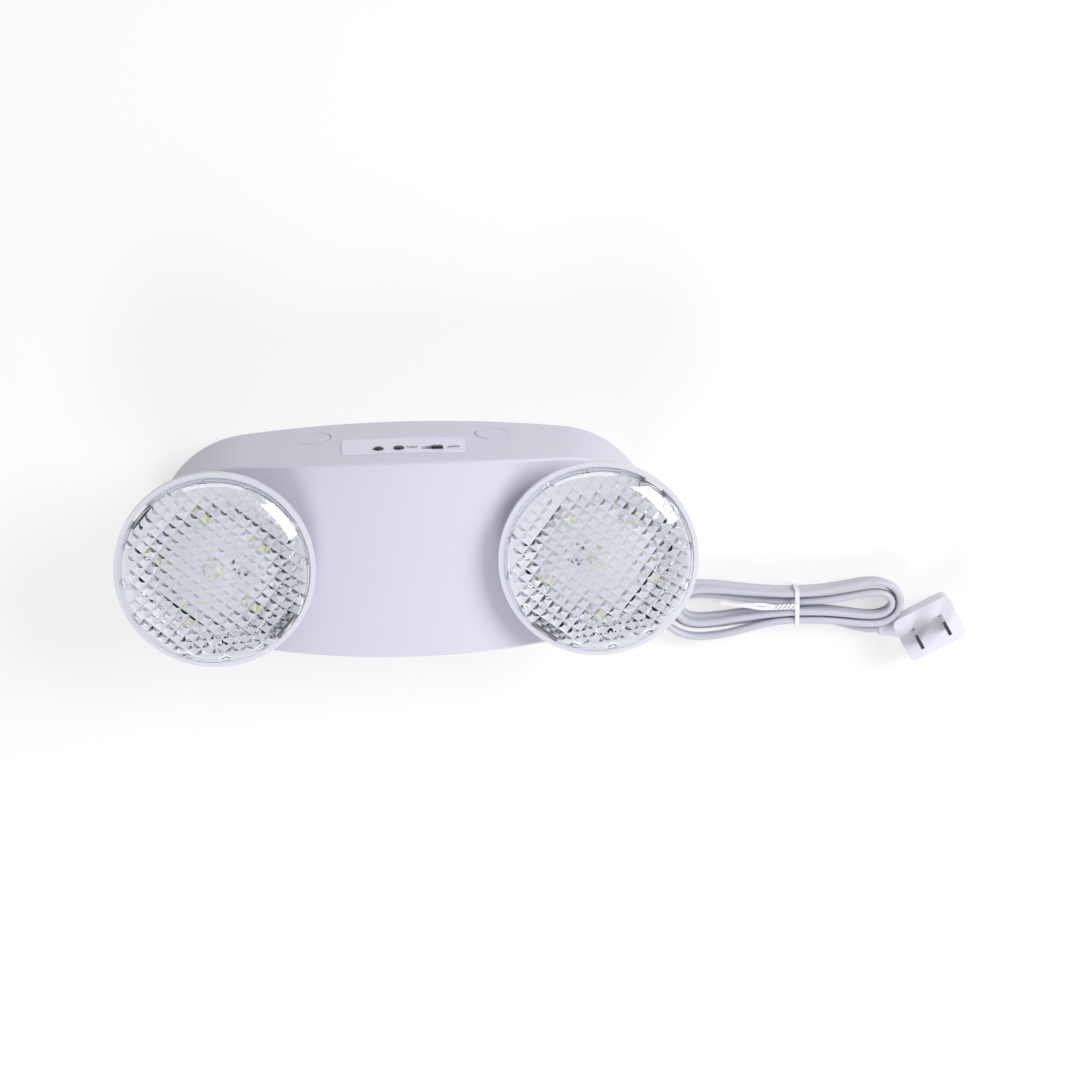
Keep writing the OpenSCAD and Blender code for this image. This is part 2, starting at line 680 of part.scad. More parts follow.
module link_wires() color("#7d7f86")
    wire(concat([socket_top(1), socket_top(1) + [0, 0, wire_rise]], link_route,
        [[link_x, switch_y - switch_board_t - wire_rise, panel_z],
        [link_x, switch_y - switch_board_t, panel_z]]),
        lead_d, [1, 0, 0]);

module battery_cells() color("#b8c2c9")
    for (i = [0:cell_count - 1]) translate([cell_x - cell_l / 2, (i - 1) * cell_pitch, cell_z])
        rotate([0, 90, 0]) {
            cylinder(r = cell_r, h = cell_l, $fn = bore_fn);
            translate([0, 0, cell_l]) cylinder(r = cell_r / 3, h = cell_rib, $fn = bore_fn);
        }

module pack_section(r) {
    for (y = sides) translate([0, y * cell_pitch]) circle(r = r, $fn = bore_fn);
    square([2 * r, 2 * cell_pitch], center = true);
}

module battery_wrap() color("#3f9a68")
    translate([cell_x, 0, cell_z]) rotate([0, 90, 0]) linear_extrude(cell_l, center = true) difference() {
        pack_section(cell_r + slip + wrap_t);
        pack_section(cell_r + slip);
    }

module battery_strap() color(metal) {
    top_z = cell_z + cell_r + slip + wrap_t;
    foot_z0 = plate_t + strap_post_h;
    difference() {
        union() {
            translate([strap_x - strap_w / 2, -strap_in - strap_t, top_z])
                cube([strap_w, 2 * (strap_in + strap_t), strap_t]);
            for (y = sides)
                translate([strap_x - strap_w / 2, y * (strap_in + strap_t / 2) - strap_t / 2, foot_z0])
                    cube([strap_w, strap_t, top_z + strap_t - foot_z0]);
            for (p = strap_posts) translate([p[0] - strap_w / 2, p[1] - strap_foot / 2 - strap_t, foot_z0])
                cube([strap_w, strap_foot + 2 * strap_t - (p[1] > 0 ? strap_t : 0), strap_t]);
        }
        for (p = strap_posts) translate([p[0], p[1], foot_z0 - over])
            cylinder(r = small_screw_r + skin, h = strap_t + 2 * over, $fn = bore_fn);
    }
}

module strap_screws() color(metal)
    for (p = strap_posts) translate([p[0], p[1], plate_t + strap_post_h + strap_t])
        small_screw(small_screw_l - strap_t);

module battery_lead() color("#b03a3a")
    wire(concat([cell_end, cell_end + [cell_rise, 0, 0], cell_end + battery_bend],
        [socket_top(0) + [-cell_rise, 0, cell_rise]], into_socket(0)), lead_d, [0, 1, 0]);

module supply_lead() color(white) {
    start = gland_out - gland_ray * (wall + gland_pad + gland_in);
    wire(concat([start, start - gland_ray * wire_rise, start + supply_bends[0]],
        [socket_top(3) + supply_bends[1], socket_top(3) + supply_bends[2]],
        into_socket(3)), lead_d, [0.3, 1, 0.2]);
}

module cord_gland() color(white)
    translate(gland_out) rotate([0, 90, gland_turn]) difference() {
        union() {
            cylinder(r = gland_flange_r, h = gland_flange_t, $fn = bore_fn);
            translate([0, 0, -wall - gland_pad - gland_in])
                cylinder(r = gland_neck_r, h = wall + gland_pad + gland_in + over, $fn = bore_fn);
            translate([0, 0, gland_flange_t])
                cylinder(r1 = gland_neck_r, r2 = gland_tip_r, h = gland_relief_l, $fn = bore_fn);
        }
        for (i = [1:gland_grooves])
            translate([0, 0, gland_flange_t + gland_relief_l * i / (gland_grooves + 1) - over])
                rotate_extrude($fn = bore_fn)
                    translate([gland_neck_r - (i + 1) * fit, 0]) square([over, over]);
    }

module lamp_lead(s) color("#3b3c42") {
    ray = [s * sin(lean), 0, cos(lean)];
    pin = [s * pin_x, 0, pin_z];
    stem_end = pin - (pin_up + boss_in + clip_t + stem_tip + lead_drop) * ray;
    stem_top = pin + (flange_z + turn_t / 2) * ray;
    start = s > 0 ? [socket_top(2), socket_top(2) + [0, 0, wire_rise]]
        : [socket_side, socket_side - [cell_rise, 0, 0]];
    middle = s > 0 ? [for (b = right_bends) socket_top(2) + b]
        : concat(left_route, [for (b = left_bends) stem_end + b]);
    wire(concat(start, middle, [stem_end, stem_top]), lead_d, [0, 1, 0.1]);
}

module swivel(s) color(white) at_pin(s) difference() {
    union() {
        translate([0, 0, flange_z]) cylinder(r = turn_r, h = turn_t, $fn = round_fn);
        translate([0, 0, groove_z - clip_t - slip - stem_tip])
            cylinder(r = stem_r, h = flange_z - groove_z + clip_t + slip + stem_tip + turn_t / 2,
                $fn = round_fn);
        for (y = sides) translate([0, y * (lug_w / 2 + slip + ear_t / 2), 0]) {
            along_y() cylinder(r = ear_r, h = ear_t, center = true, $fn = bore_fn);
            translate([-ear_r, -ear_t / 2, flange_z + turn_t / 2])
                cube([ear_l, ear_t, -flange_z - turn_t / 2]);
        }
    }
    translate([0, 0, groove_z - clip_t - slip - stem_tip - over])
        cylinder(r = stem_bore_r, h = body_d, $fn = bore_fn);
    along_y() cylinder(r = pin_r + skin, h = body_h, center = true, $fn = bore_fn);
    translate([0, 0, groove_z - clip_t - slip]) difference() {
        cylinder(r = stem_r + over, h = clip_t + slip, $fn = round_fn);
        cylinder(r = groove_r, h = clip_t + slip, $fn = round_fn);
    }
}

module swivel_clip(s) color(metal) at_pin(s) translate([0, 0, groove_z - clip_t - slip / 2]) difference() {
    cylinder(r = clip_r, h = clip_t, $fn = round_fn);
    translate([0, 0, -over]) cylinder(r = groove_r + skin, h = clip_t + 2 * over, $fn = round_fn);
    translate([0, -groove_r * clip_mouth_share, -over])
        cube([clip_r + over, 2 * groove_r * clip_mouth_share, clip_t + 2 * over]);
}

module hinge_bolt(s) color(metal) at_pin(s) {
    reach = lug_w / 2 + slip + ear_t;
    translate([0, -reach - nut_t, 0]) along_y()
        cylinder(r = pin_r, h = 2 * reach + nut_t + bolt_head_t / 2, $fn = bore_fn);
    translate([0, reach, 0]) along_y() difference() {
        cylinder(r = bolt_head_r, h = bolt_head_t, $fn = bore_fn);
        translate([0, 0, bolt_head_t]) cube([2 * bolt_head_r + over, pin_r / 2, bolt_head_t], center = true);
    }
}

module hinge_nut(s) color(metal) at_pin(s)
    translate([0, -lug_w / 2 - slip - ear_t - nut_t, 0]) along_y() difference() {
        cylinder(r = nut_r, h = nut_t, $fn = 6);
        translate([0, 0, -over]) cylinder(r = pin_r + skin, h = nut_t + 2 * over, $fn = bore_fn);
    }

module head_shell(s) color(white) at_head(s) difference() {
    union() {
        rotate_extrude($fn = round_fn) polygon([[0, back_z], [head_flat_r, back_z],
            [rim_r - rim_w, rim_up - rim_h], [rim_r, rim_up - rim_h], [rim_r, rim_up], [seat_r, rim_up],
            [seat_r, ledge_z], [ledge_r, ledge_z], [floor_r, floor_z], [0, floor_z]]);
        for (i = [0:lamp_posts - 1]) rotate([0, 0, 90 + 360 * i / lamp_posts])
            translate([lamp_post_ring, 0, floor_z - skin])
            cylinder(r = lamp_post_r, h = lamp_post_h + skin, $fn = bore_fn);
        along_y() cylinder(r = lug_r, h = lug_w, center = true, $fn = bore_fn);
        translate([0, lug_w / 2, 0]) rotate([90, 0, 0]) linear_extrude(lug_w)
            polygon([[-lug_r, 0], [lug_r, 0],
                [lug_base_l / 2, back_z + skin], [-lug_base_l / 2, back_z + skin]]);
    }
    along_y() cylinder(r = pin_r + run_fit, h = body_h, center = true, $fn = bore_fn);
    translate([-s * lead_hole_x, 0, back_z - over])
        cylinder(r = lead_hole_r, h = head_wall + 2 * over, $fn = bore_fn);
    rotate([0, 0, head_turns[s < 0 ? 0 : 1]]) for (a = [0, 180]) rotate([0, 0, a])
        translate([seat_r - 2 * skirt_t, -(latch_w + latch_play) / 2, rim_up - rim_h - latch_drop])
            cube([2 * skirt_t, latch_w + latch_play, ledge_z - rim_up + rim_h + latch_drop + over]);
}

module lamp_board(s) color("#dfe2e6") at_head(s) translate([0, 0, board_z]) difference() {
    cylinder(r = board_r, h = lamp_board_t, $fn = round_fn);
    translate([-s * lead_hole_x, 0, -over])
        cylinder(r = lead_hole_r, h = lamp_board_t + 2 * over, $fn = bore_fn);
}

module lamp_chips(s) color("#e7e08c") at_head(s) translate([0, 0, board_top]) {
    translate([-led_w / 2, -led_w / 2, 0]) cube([led_w, led_w, led_h]);
    for (i = [0:led_count - 1]) rotate([0, 0, led_turns[s < 0 ? 0 : 1] + i * 360 / led_count])
        translate([led_ring_r - led_w / 2, -led_w / 2, 0]) cube([led_w, led_w, led_h]);
}

module reflector(s) color("#eef0f4") at_head(s) rotate_extrude($fn = round_fn) polygon([
    [board_r - reflector_t, board_top], [board_r, board_top], [ledge_r, ledge_z], [reflector_r, ledge_z],
    [reflector_r, ledge_z + reflector_t], [ledge_r - reflector_t / 2, ledge_z + reflector_t],
    [board_r - reflector_t, board_top + reflector_t]]);

function shoulder(r, a, b, z) = [for (i = [0:shoulder_steps]) let (t = 90 * i / shoulder_steps)
    [r + a * cos(t), z + b * sin(t)]];
module lens(s) color(clear, 0.4) at_head(s) {
    edge_z = rim_up + lens_edge;
    top_z = rim_up + lens_rise;
    crown = lens_t / 3;
    rotate_extrude($fn = round_fn) polygon(concat(
        [[lens_out_r - skirt_t, ledge_z], [lens_out_r, ledge_z]],
        shoulder(lens_flat_r, lens_out_r - lens_flat_r, top_z - crown - edge_z, edge_z),
        [[0, top_z], [0, top_z - lens_t]],
        [for (i = [shoulder_steps:-1:0]) shoulder(lens_flat_r, lens_out_r - skirt_t - lens_flat_r,
            top_z - crown - lens_t - edge_z, edge_z)[i]]));
    rotate([0, 0, head_turns[s < 0 ? 0 : 1]]) for (a = [0, 180]) rotate([0, 0, a]) {
        translate([lens_out_r - skirt_t, -latch_w / 2, rim_up - rim_h - latch_drop / 2])
            cube([skirt_t, latch_w, ledge_z - rim_up + rim_h + latch_drop / 2 + skin]);
    }
}

module head_lead(s) color("#3b3c42") at_head(s)
    wire([[-s * lead_hole_x, 0, board_z], [-s * lead_hole_x, 0, floor_z],
        [-s * lead_hole_x, 0, back_z - over],
        [-s * (lead_hole_x - lead_bend), 0, back_z - lead_out]], lead_d, [0, 1, 0]);

module cord_lead() color(white)
    tube(lead_points, 8, cord_t, cord_w, gland_ray, [1, 0, 0]);
module cord_hank() color(white)
    tube(hank_points, 6, cord_t, cord_w, [1, 0, 0], [1, 0, 0]);
module cord_tail() color(white)
    tube(tail_points, 8, cord_t, cord_w, [1, 0, 0], [1, 0, 0]);

module twist_tie() color("#f5f5fa") {
    inner = [tie_w + over, 2 * loop_waist + tie_steps * loop_step + cord_t + 2 * fit,
        2 * cord_w + layer_gap + 2 * slip];
    translate([loop_mid[0] + loop_shift, loop_mid[1] - loop_step / 4, tie_lift + cord_w + layer_gap / 2]) {
        difference() {
            cube([tie_w, inner[1] + 2 * tie_t, inner[2] + 2 * tie_t], center = true);
            cube(inner, center = true);
        }
        translate([-tie_twist_l, -tie_w / 2, inner[2] / 2])
            rotate([0, 0, -tie_turn]) cube([tie_twist_l, tie_w, 3 * tie_t]);
        translate([-tie_twist_l, -tie_w / 2, inner[2] / 2])
            rotate([0, 0, -tie_turn]) translate([-tie_tail_l, 0, 0]) cube([tie_tail_l + over, tie_w, tie_t]);
    }
}

module at_plug() translate(plug_at) rotate([0, 0, plug_turn])
    rotate([-plug_tilt, 0, 0]) children();

module plug_body() color("#eceaf6") {
    intersection() {
        at_plug() translate([0, 0, -2 * plug_h]) linear_extrude(2 * plug_h)
            hull() for (x = sides, y = sides)
                translate([x * (plug_l / 2 - plug_corner), y * (plug_w / 2 - plug_corner)])
                    circle(r = plug_corner, $fn = 32);
        translate([plug_at[0] - plug_l, plug_at[1] - plug_l, 0]) cube([2 * plug_l, 2 * plug_l, 2 * plug_h]);
    }
    translate(nose_tip) rotate([0, 90, 0])
        cylinder(r1 = cord_w / 2 + fit, r2 = nose_at[2] - fit, h = nose_l + nose_sink, $fn = bore_fn);
}

module plug_blades() color(metal) at_plug() for (x = sides)
    translate([x * blade_gap / 2 - blade_t / 2, -blade_w / 2, 0]) difference() {
        cube([blade_t, blade_w, blade_l]);
        translate([-over, blade_w / 2, blade_l - blade_w / 2])
            rotate([0, 90, 0]) cylinder(r = blade_w / 4, h = blade_t + 2 * over, $fn = 32);
    }

front_cover();
back_plate();
plate_screws();
panel_label();
test_button();
indicator_lamp();
button_switch();
slide_switch();
switch_knob();
switch_board();
main_board();
board_screws();
transformer_core();
transformer_coil();
capacitors();
relay();
wire_sockets();
link_wires();
battery_cells();
battery_wrap();
battery_strap();
strap_screws();
battery_lead();
supply_lead();
cord_gland();
lamp_lead(-1);  // lamp_lead_left
lamp_lead(1);  // lamp_lead_right
swivel(-1);  // swivel_left
swivel_clip(-1);  // swivel_clip_left
hinge_bolt(-1);  // hinge_bolt_left
hinge_nut(-1);  // hinge_nut_left
head_shell(-1);  // head_shell_left
lamp_board(-1);  // lamp_board_left
lamp_chips(-1);  // lamp_chips_left
reflector(-1);  // reflector_left
lens(-1);  // lens_left
head_lead(-1);  // head_lead_left
swivel(1);  // swivel_right
swivel_clip(1);  // swivel_clip_right
hinge_bolt(1);  // hinge_bolt_right
hinge_nut(1);  // hinge_nut_right
head_shell(1);  // head_shell_right
lamp_board(1);  // lamp_board_right
lamp_chips(1);  // lamp_chips_right
reflector(1);  // reflector_right
lens(1);  // lens_right
head_lead(1);  // head_lead_right
cord_lead();
cord_hank();
cord_tail();
twist_tie();
plug_body();
plug_blades();
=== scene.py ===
import json
import math

import bmesh
import bpy
from mathutils import Matrix, Vector


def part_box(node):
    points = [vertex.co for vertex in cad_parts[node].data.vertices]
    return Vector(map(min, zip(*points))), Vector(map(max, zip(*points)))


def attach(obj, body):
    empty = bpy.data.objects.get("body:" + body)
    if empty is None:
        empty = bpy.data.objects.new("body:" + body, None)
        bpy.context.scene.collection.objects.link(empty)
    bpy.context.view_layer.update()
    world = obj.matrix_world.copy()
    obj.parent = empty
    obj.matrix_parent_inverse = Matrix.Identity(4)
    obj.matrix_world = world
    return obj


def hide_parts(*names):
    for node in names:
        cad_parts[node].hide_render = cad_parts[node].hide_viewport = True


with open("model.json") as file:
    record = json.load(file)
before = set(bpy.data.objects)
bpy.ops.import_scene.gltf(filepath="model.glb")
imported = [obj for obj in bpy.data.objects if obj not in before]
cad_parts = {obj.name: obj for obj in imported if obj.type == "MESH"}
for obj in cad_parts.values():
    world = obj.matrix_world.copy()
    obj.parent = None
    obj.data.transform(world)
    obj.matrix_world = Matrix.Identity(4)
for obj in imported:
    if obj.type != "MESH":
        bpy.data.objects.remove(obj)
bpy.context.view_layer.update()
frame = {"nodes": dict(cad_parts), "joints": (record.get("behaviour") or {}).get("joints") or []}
nodes = frame["nodes"]
joints = {joint["name"]: joint for joint in frame["joints"]}
sides = ("left", "right")
mm = 0.001  # the dictionaries are in millimetres and degrees, the stage's in metres
print("frame loaded:", len(nodes), "nodes")

# Camera, at the photograph's angle
cameraValues = {"pitch": 15.79, "yaw": 2.63, "roll": 0.97, "offset": (-56.2, 5.8, 1400), "lens": 111.73,
                "sensor": 36, "clip": (0.05, 20)}


def linked(name, data):
    item = bpy.data.objects.new(name, data)
    bpy.context.scene.collection.objects.link(item)
    return item


def turned(degrees, axis):
    return Matrix.Rotation(math.radians(degrees), 4, axis)


def moved(x, y, z):
    return Matrix.Translation(Vector((x, y, z)) * mm)


def makeCamera():
    v = cameraValues
    view = turned(v["roll"], "Z") @ turned(v["pitch"], "X") @ turned(v["yaw"], "Y")
    x, y, distance = v["offset"]
    data = bpy.data.cameras.new("camera")
    data.lens, data.sensor_width = v["lens"], v["sensor"]
    data.clip_start, data.clip_end = v["clip"]
    camera = linked("camera", data)
    camera.matrix_world = view.transposed()
    camera.location = view.transposed() @ Vector((-x, -y, distance)) * mm
    bpy.context.scene.camera = camera


makeCamera()
print("camera placed")


# Mesh helpers
def meshFrom(name, points, faces, scale=mm):
    mesh = bpy.data.meshes.new(name)
    mesh.from_pydata([tuple(Vector(p) * scale) for p in points], [], faces)
    mesh.validate()
    mesh.update()
    return linked(name, mesh)


def smoothByAngle(piece, angle=32):
    piece.data.shade_smooth()
    piece.data.set_sharp_from_angle(angle=math.radians(angle))


def tidied(piece, weld=0.002, recalc=True):
    mesh = bmesh.new()
    mesh.from_mesh(piece.data)
    if weld:
        bmesh.ops.remove_doubles(mesh, verts=mesh.verts, dist=weld * mm)
    if recalc:
        bmesh.ops.recalc_face_normals(mesh, faces=mesh.faces)
    mesh.to_mesh(piece.data)
    mesh.free()
    piece.data.update()
    return piece


def finishedMesh(piece):
    graph = bpy.context.evaluated_depsgraph_get()
    return bpy.data.meshes.new_from_object(piece.evaluated_get(graph), depsgraph=graph)


def applied(piece):
    mesh = finishedMesh(piece)
    piece.modifiers.clear()
    piece.data = mesh
    return piece


def bevelled(piece, width, segments=3, angle=30):
    edge = piece.modifiers.new("edges", "BEVEL")
    edge.width, edge.segments = width * mm, segments
    edge.limit_method, edge.angle_limit = "ANGLE", math.radians(angle)
    edge.use_clamp_overlap, edge.miter_outer = True, "MITER_ARC"
    return applied(piece)


def cutBy(piece, cutter, operation="DIFFERENCE"):
    cut = piece.modifiers.new("cut", "BOOLEAN")
    cut.operation, cut.solver, cut.object = operation, "EXACT", cutter
    cut.use_self = True
    applied(piece)
    bpy.data.objects.remove(cutter)


def pieceFrom(name, mesh):
    data = bpy.data.meshes.new(name)
    mesh.to_mesh(data)
    mesh.free()
    return linked(name, data)


def joined(name, pieces):
    mesh = bmesh.new()
    for piece in pieces:
        mesh.from_mesh(piece.data)
        bpy.data.objects.remove(piece)
    return pieceFrom(name, mesh)


def placed(piece, matrix):
    piece.data.transform(matrix)
    piece.data.update()
    return piece


def circle(count, wide, tall):
    turns = [2 * math.pi * k / count for k in range(count)]
    return [(wide * math.cos(a), tall * math.sin(a)) for a in turns]


# A profile of (radius, height) turned about Z; a point on the axis is one vertex
def lathe(name, profile, segments, closed=False):
    points, faces, rows = [], [], []
    for r, z in profile:
        if r == 0:
            rows.append([len(points)] * segments)
            points.append((0, 0, z))
            continue
        rows.append(list(range(len(points), len(points) + segments)))
        points += [(x, y, z) for x, y in circle(segments, r, r)]
    pairs = list(zip(rows, rows[1:])) + ([(rows[-1], rows[0])] if closed else [])
    for low, high in pairs:
        for k in range(segments):
            m = (k + 1) % segments
            corners = list(dict.fromkeys((low[k], low[m], high[m], high[k])))
            if len(corners) > 2:
                faces.append(corners)
    return tidied(meshFrom(name, points, faces))


def roundedRing(corners, radius, steps):
    out = []
    for i, p in enumerate(corners):
        before, after = corners[i - 1], corners[(i + 1) % len(corners)]
        a, b = p + (before - p).normalized() * radius, p + (after - p).normalized() * radius
        for k in range(steps + 1):
            t = k / steps
            out.append(a * (1 - t) ** 2 + p * 2 * t * (1 - t) + b * t * t)
    return out


def extruded(name, outline, low, high):
    count = len(outline)
    points = [(x, y, low) for x, y in outline] + [(x, y, high) for x, y in outline]
    faces = [list(range(count))[::-1], list(range(count, 2 * count))]
    faces += [[k, (k + 1) % count, count + (k + 1) % count, count + k] for k in range(count)]
    return tidied(meshFrom(name, points, faces))


def boxPiece(name, low, high):
    (x0, y0, z0), (x1, y1, z1) = low, high
    return extruded(name, [(x0, y0), (x1, y0), (x1, y1), (x0, y1)], z0, z1)


def disc(radius, low, high, steps=64):
    return extruded("disc", circle(steps, radius, radius), low, high)


# A CAD node's copy: merged, its flat triangles joined, its edges rounded
copyValues = {"weld": 0.004, "sliver": 0.001, "flatAngle": 0.8}


def cadCopy(node, name, bevel=0.0, segments=2, angle=30, smooth=34):
    v = copyValues
    piece = linked(name, nodes[node].data.copy())
    piece.data.materials.clear()
    mesh = bmesh.new()
    mesh.from_mesh(piece.data)
    bmesh.ops.remove_doubles(mesh, verts=mesh.verts, dist=v["weld"] * mm)
    bmesh.ops.dissolve_degenerate(mesh, edges=mesh.edges, dist=v["sliver"] * mm)
    bmesh.ops.dissolve_limit(mesh, angle_limit=math.radians(v["flatAngle"]), verts=mesh.verts,
                             edges=mesh.edges)
    mesh.to_mesh(piece.data)
    mesh.free()
    if bevel:
        bevelled(piece, bevel, segments, angle)
    smoothByAngle(piece, smooth)
    return piece


def painted(piece, look):
    piece.data.materials.clear()
    piece.data.materials.append(looks[look])


# Gives a piece its material and body, and hides the CAD nodes that it replaces
def dressed(piece, look, body, slot, *stoodFor):
    painted(piece, look)
    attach(piece, body)
    if stoodFor:
        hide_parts(*stoodFor)
    return piece


# Place of a head's pan joint, upright or turned along the joint's leaning axis
def pinFrame(side, leaning=False):
    joint = joints["pan_" + side]
    place = Matrix.Translation(Vector(joint["pos_m"]))
    if not leaning:
        return place
    x, _, z = joint["axis"]
    return place @ Matrix.Rotation(math.atan2(x, z), 4, "Y")


# Shader groups: moulded grain and long brush marks
patternValues = {
    "mouldedGrain": {"Roughness": 0.4, "Spread": 0.08, "Grain Scale": 2200, "Cloud Scale": 28},
    "brushMarks": {"Roughness": 0.3, "Spread": 0.2, "Stretch": (200, 4000, 4000)},
    "cloud": {"Detail": 3.0, "Roughness": 0.6}, "grain": {"Detail": 2.0, "Roughness": 0.55},
    "marks": {"Detail": 4.0, "Scale": 1.0}, "middle": 0.5, "relief": {"mouldedGrain": 0.05, "brushMarks": 0.03},
}


def newGroup(name, kind, inputs, outputs, starts=()):
    group = bpy.data.node_groups.new(name, kind + "NodeTree")
    for label, data in inputs:
        socket = group.interface.new_socket(label, in_out="INPUT", socket_type="NodeSocket" + data)
        if label in starts:
            socket.default_value = starts[label]
    for label, data in outputs:
        group.interface.new_socket(label, in_out="OUTPUT", socket_type="NodeSocket" + data)
    return group, group.nodes.new("NodeGroupInput"), group.nodes.new("NodeGroupOutput")


# A new node; i0 links its input 0, and a link comes from a socket or from a node's first output
def addNode(tree, kind, values=None, **links):
    node = tree.nodes.new(kind)
    for key, value in (values or {}).items():
        if isinstance(key, int) or key in node.inputs:
            node.inputs[key].default_value = value
        else:
            setattr(node, key, value)
    for key, source in links.items():
        label = int(key[1:]) if key[0] == "i" and key[1:].isdigit() else key
        tree.links.new(getattr(source, "outputs", [source])[0], node.inputs[label])
    return node


def mixShader(tree, share, first, second):
    return addNode(tree, "ShaderNodeMixShader", i0=share, i1=first, i2=second)


def patternGroup(name, *sizes):
    inputs = [("Color A", "Color"), ("Color B", "Color"), ("Roughness", "Float"), ("Spread", "Float")]
    outputs = [("Color", "Color"), ("Roughness", "Float"), ("Height", "Float")]
    return newGroup(name, "Shader", inputs + list(sizes), outputs, patternValues[name])


# Two colours mixed by a tone, a roughness that follows it, and a height
def patternOutputs(group, given, out, tone, height):
    tint = addNode(group, "ShaderNodeMix", {"data_type": "RGBA"}, i0=tone, i6=given.outputs["Color A"],
                   i7=given.outputs["Color B"])
    offset = addNode(group, "ShaderNodeMath", {"operation": "SUBTRACT", 1: patternValues["middle"]}, i0=tone)
    rough = addNode(group, "ShaderNodeMath", {"operation": "MULTIPLY_ADD"}, i0=offset,
                    i1=given.outputs["Spread"], i2=given.outputs["Roughness"])
    group.links.new(tint.outputs[2], out.inputs["Color"])
    group.links.new(rough.outputs[0], out.inputs["Roughness"])
    group.links.new(height.outputs[0], out.inputs["Height"])
    return group


def grainGroup():
    group, given, out = patternGroup("mouldedGrain", ("Grain Scale", "Float"), ("Cloud Scale", "Float"))
    place = addNode(group, "ShaderNodeTexCoord")
    cloud = addNode(group, "ShaderNodeTexNoise", patternValues["cloud"], Vector=place.outputs["Object"],
                    Scale=given.outputs["Cloud Scale"])
    grain = addNode(group, "ShaderNodeTexNoise", patternValues["grain"], Vector=place.outputs["Object"],
                    Scale=given.outputs["Grain Scale"])
    return patternOutputs(group, given, out, cloud, grain)


def brushGroup():
    group, given, out = patternGroup("brushMarks", ("Stretch", "Vector"))
    place = addNode(group, "ShaderNodeTexCoord")
    drawn = addNode(group, "ShaderNodeVectorMath", {"operation": "MULTIPLY"}, i0=place.outputs["Object"],
                    i1=given.outputs["Stretch"])
    marks = addNode(group, "ShaderNodeTexNoise", patternValues["marks"], Vector=drawn)
    return patternOutputs(group, given, out, marks, marks)


groups = {"mouldedGrain": grainGroup(), "brushMarks": brushGroup()}


def srgb(r, g, b):
    def one(c):
        c = c / 255
        return c / 12.92 if c <= 0.04045 else ((c + 0.055) / 1.055) ** 2.4
    return (one(r), one(g), one(b), 1)


def newMaterial(name, sockets):
    material = bpy.data.materials.new(name)
    material.use_nodes = True
    tree = material.node_tree
    tree.nodes.clear()
    shader = addNode(tree, "ShaderNodeBsdfPrincipled", sockets)
    out = addNode(tree, "ShaderNodeOutputMaterial", i0=shader)
    return material, tree, shader, out


def surface(name, group, colorA, colorB, values, bump, metallic=0.0):
    material, tree, shader, _ = newMaterial(name, {"Metallic": metallic})
    colors = {"Color A": srgb(*colorA), "Color B": srgb(*colorB)}
    effect = addNode(tree, "ShaderNodeGroup", {"node_tree": groups[group], **colors, **values})
    depth = patternValues["relief"][group] * mm
    relief = addNode(tree, "ShaderNodeBump", {"Strength": bump, "Distance": depth},
                     Height=effect.outputs["Height"])
    tree.links.new(effect.outputs["Color"], shader.inputs["Base Color"])
    tree.links.new(effect.outputs["Roughness"], shader.inputs["Roughness"])
    tree.links.new(relief.outputs[0], shader.inputs["Normal"])
    return material


def plastic(name, colorA, colorB, roughness=0.4, grain=2200, bump=0.15):
    values = {"Roughness": roughness, "Grain Scale": grain}
    return surface(name, "mouldedGrain", colorA, colorB, values, bump)


def metal(name, colorA, colorB, roughness=0.3, stretch=(300, 3000, 3000), bump=0.1):
    values = {"Roughness": roughness, "Stretch": stretch}
    return surface(name, "brushMarks", colorA, colorB, values, bump, 1.0)


# Clear to camera and mirror rays; shadow and diffuse rays pass straight through
def clearPlastic(name, v):
    body = {"Base Color": srgb(*v["tint"]), "Transmission Weight": 1.0}
    material, tree, shader, out = newMaterial(name, {**body, **v["body"]})
    effect = addNode(tree, "ShaderNodeGroup", {"node_tree": groups["mouldedGrain"], **v["effect"]})
    tree.links.new(effect.outputs["Roughness"], shader.inputs["Roughness"])
    rays = tree.nodes.new("ShaderNodeLightPath")
    either = addNode(tree, "ShaderNodeMath", {"operation": "MAXIMUM"}, i0=rays.outputs["Is Shadow Ray"],
                     i1=rays.outputs["Is Diffuse Ray"])
    through = addNode(tree, "ShaderNodeBsdfTransparent", {"Color": srgb(*v["through"])})
    tree.links.new(mixShader(tree, either, shader, through).outputs[0], out.inputs[0])
    return material


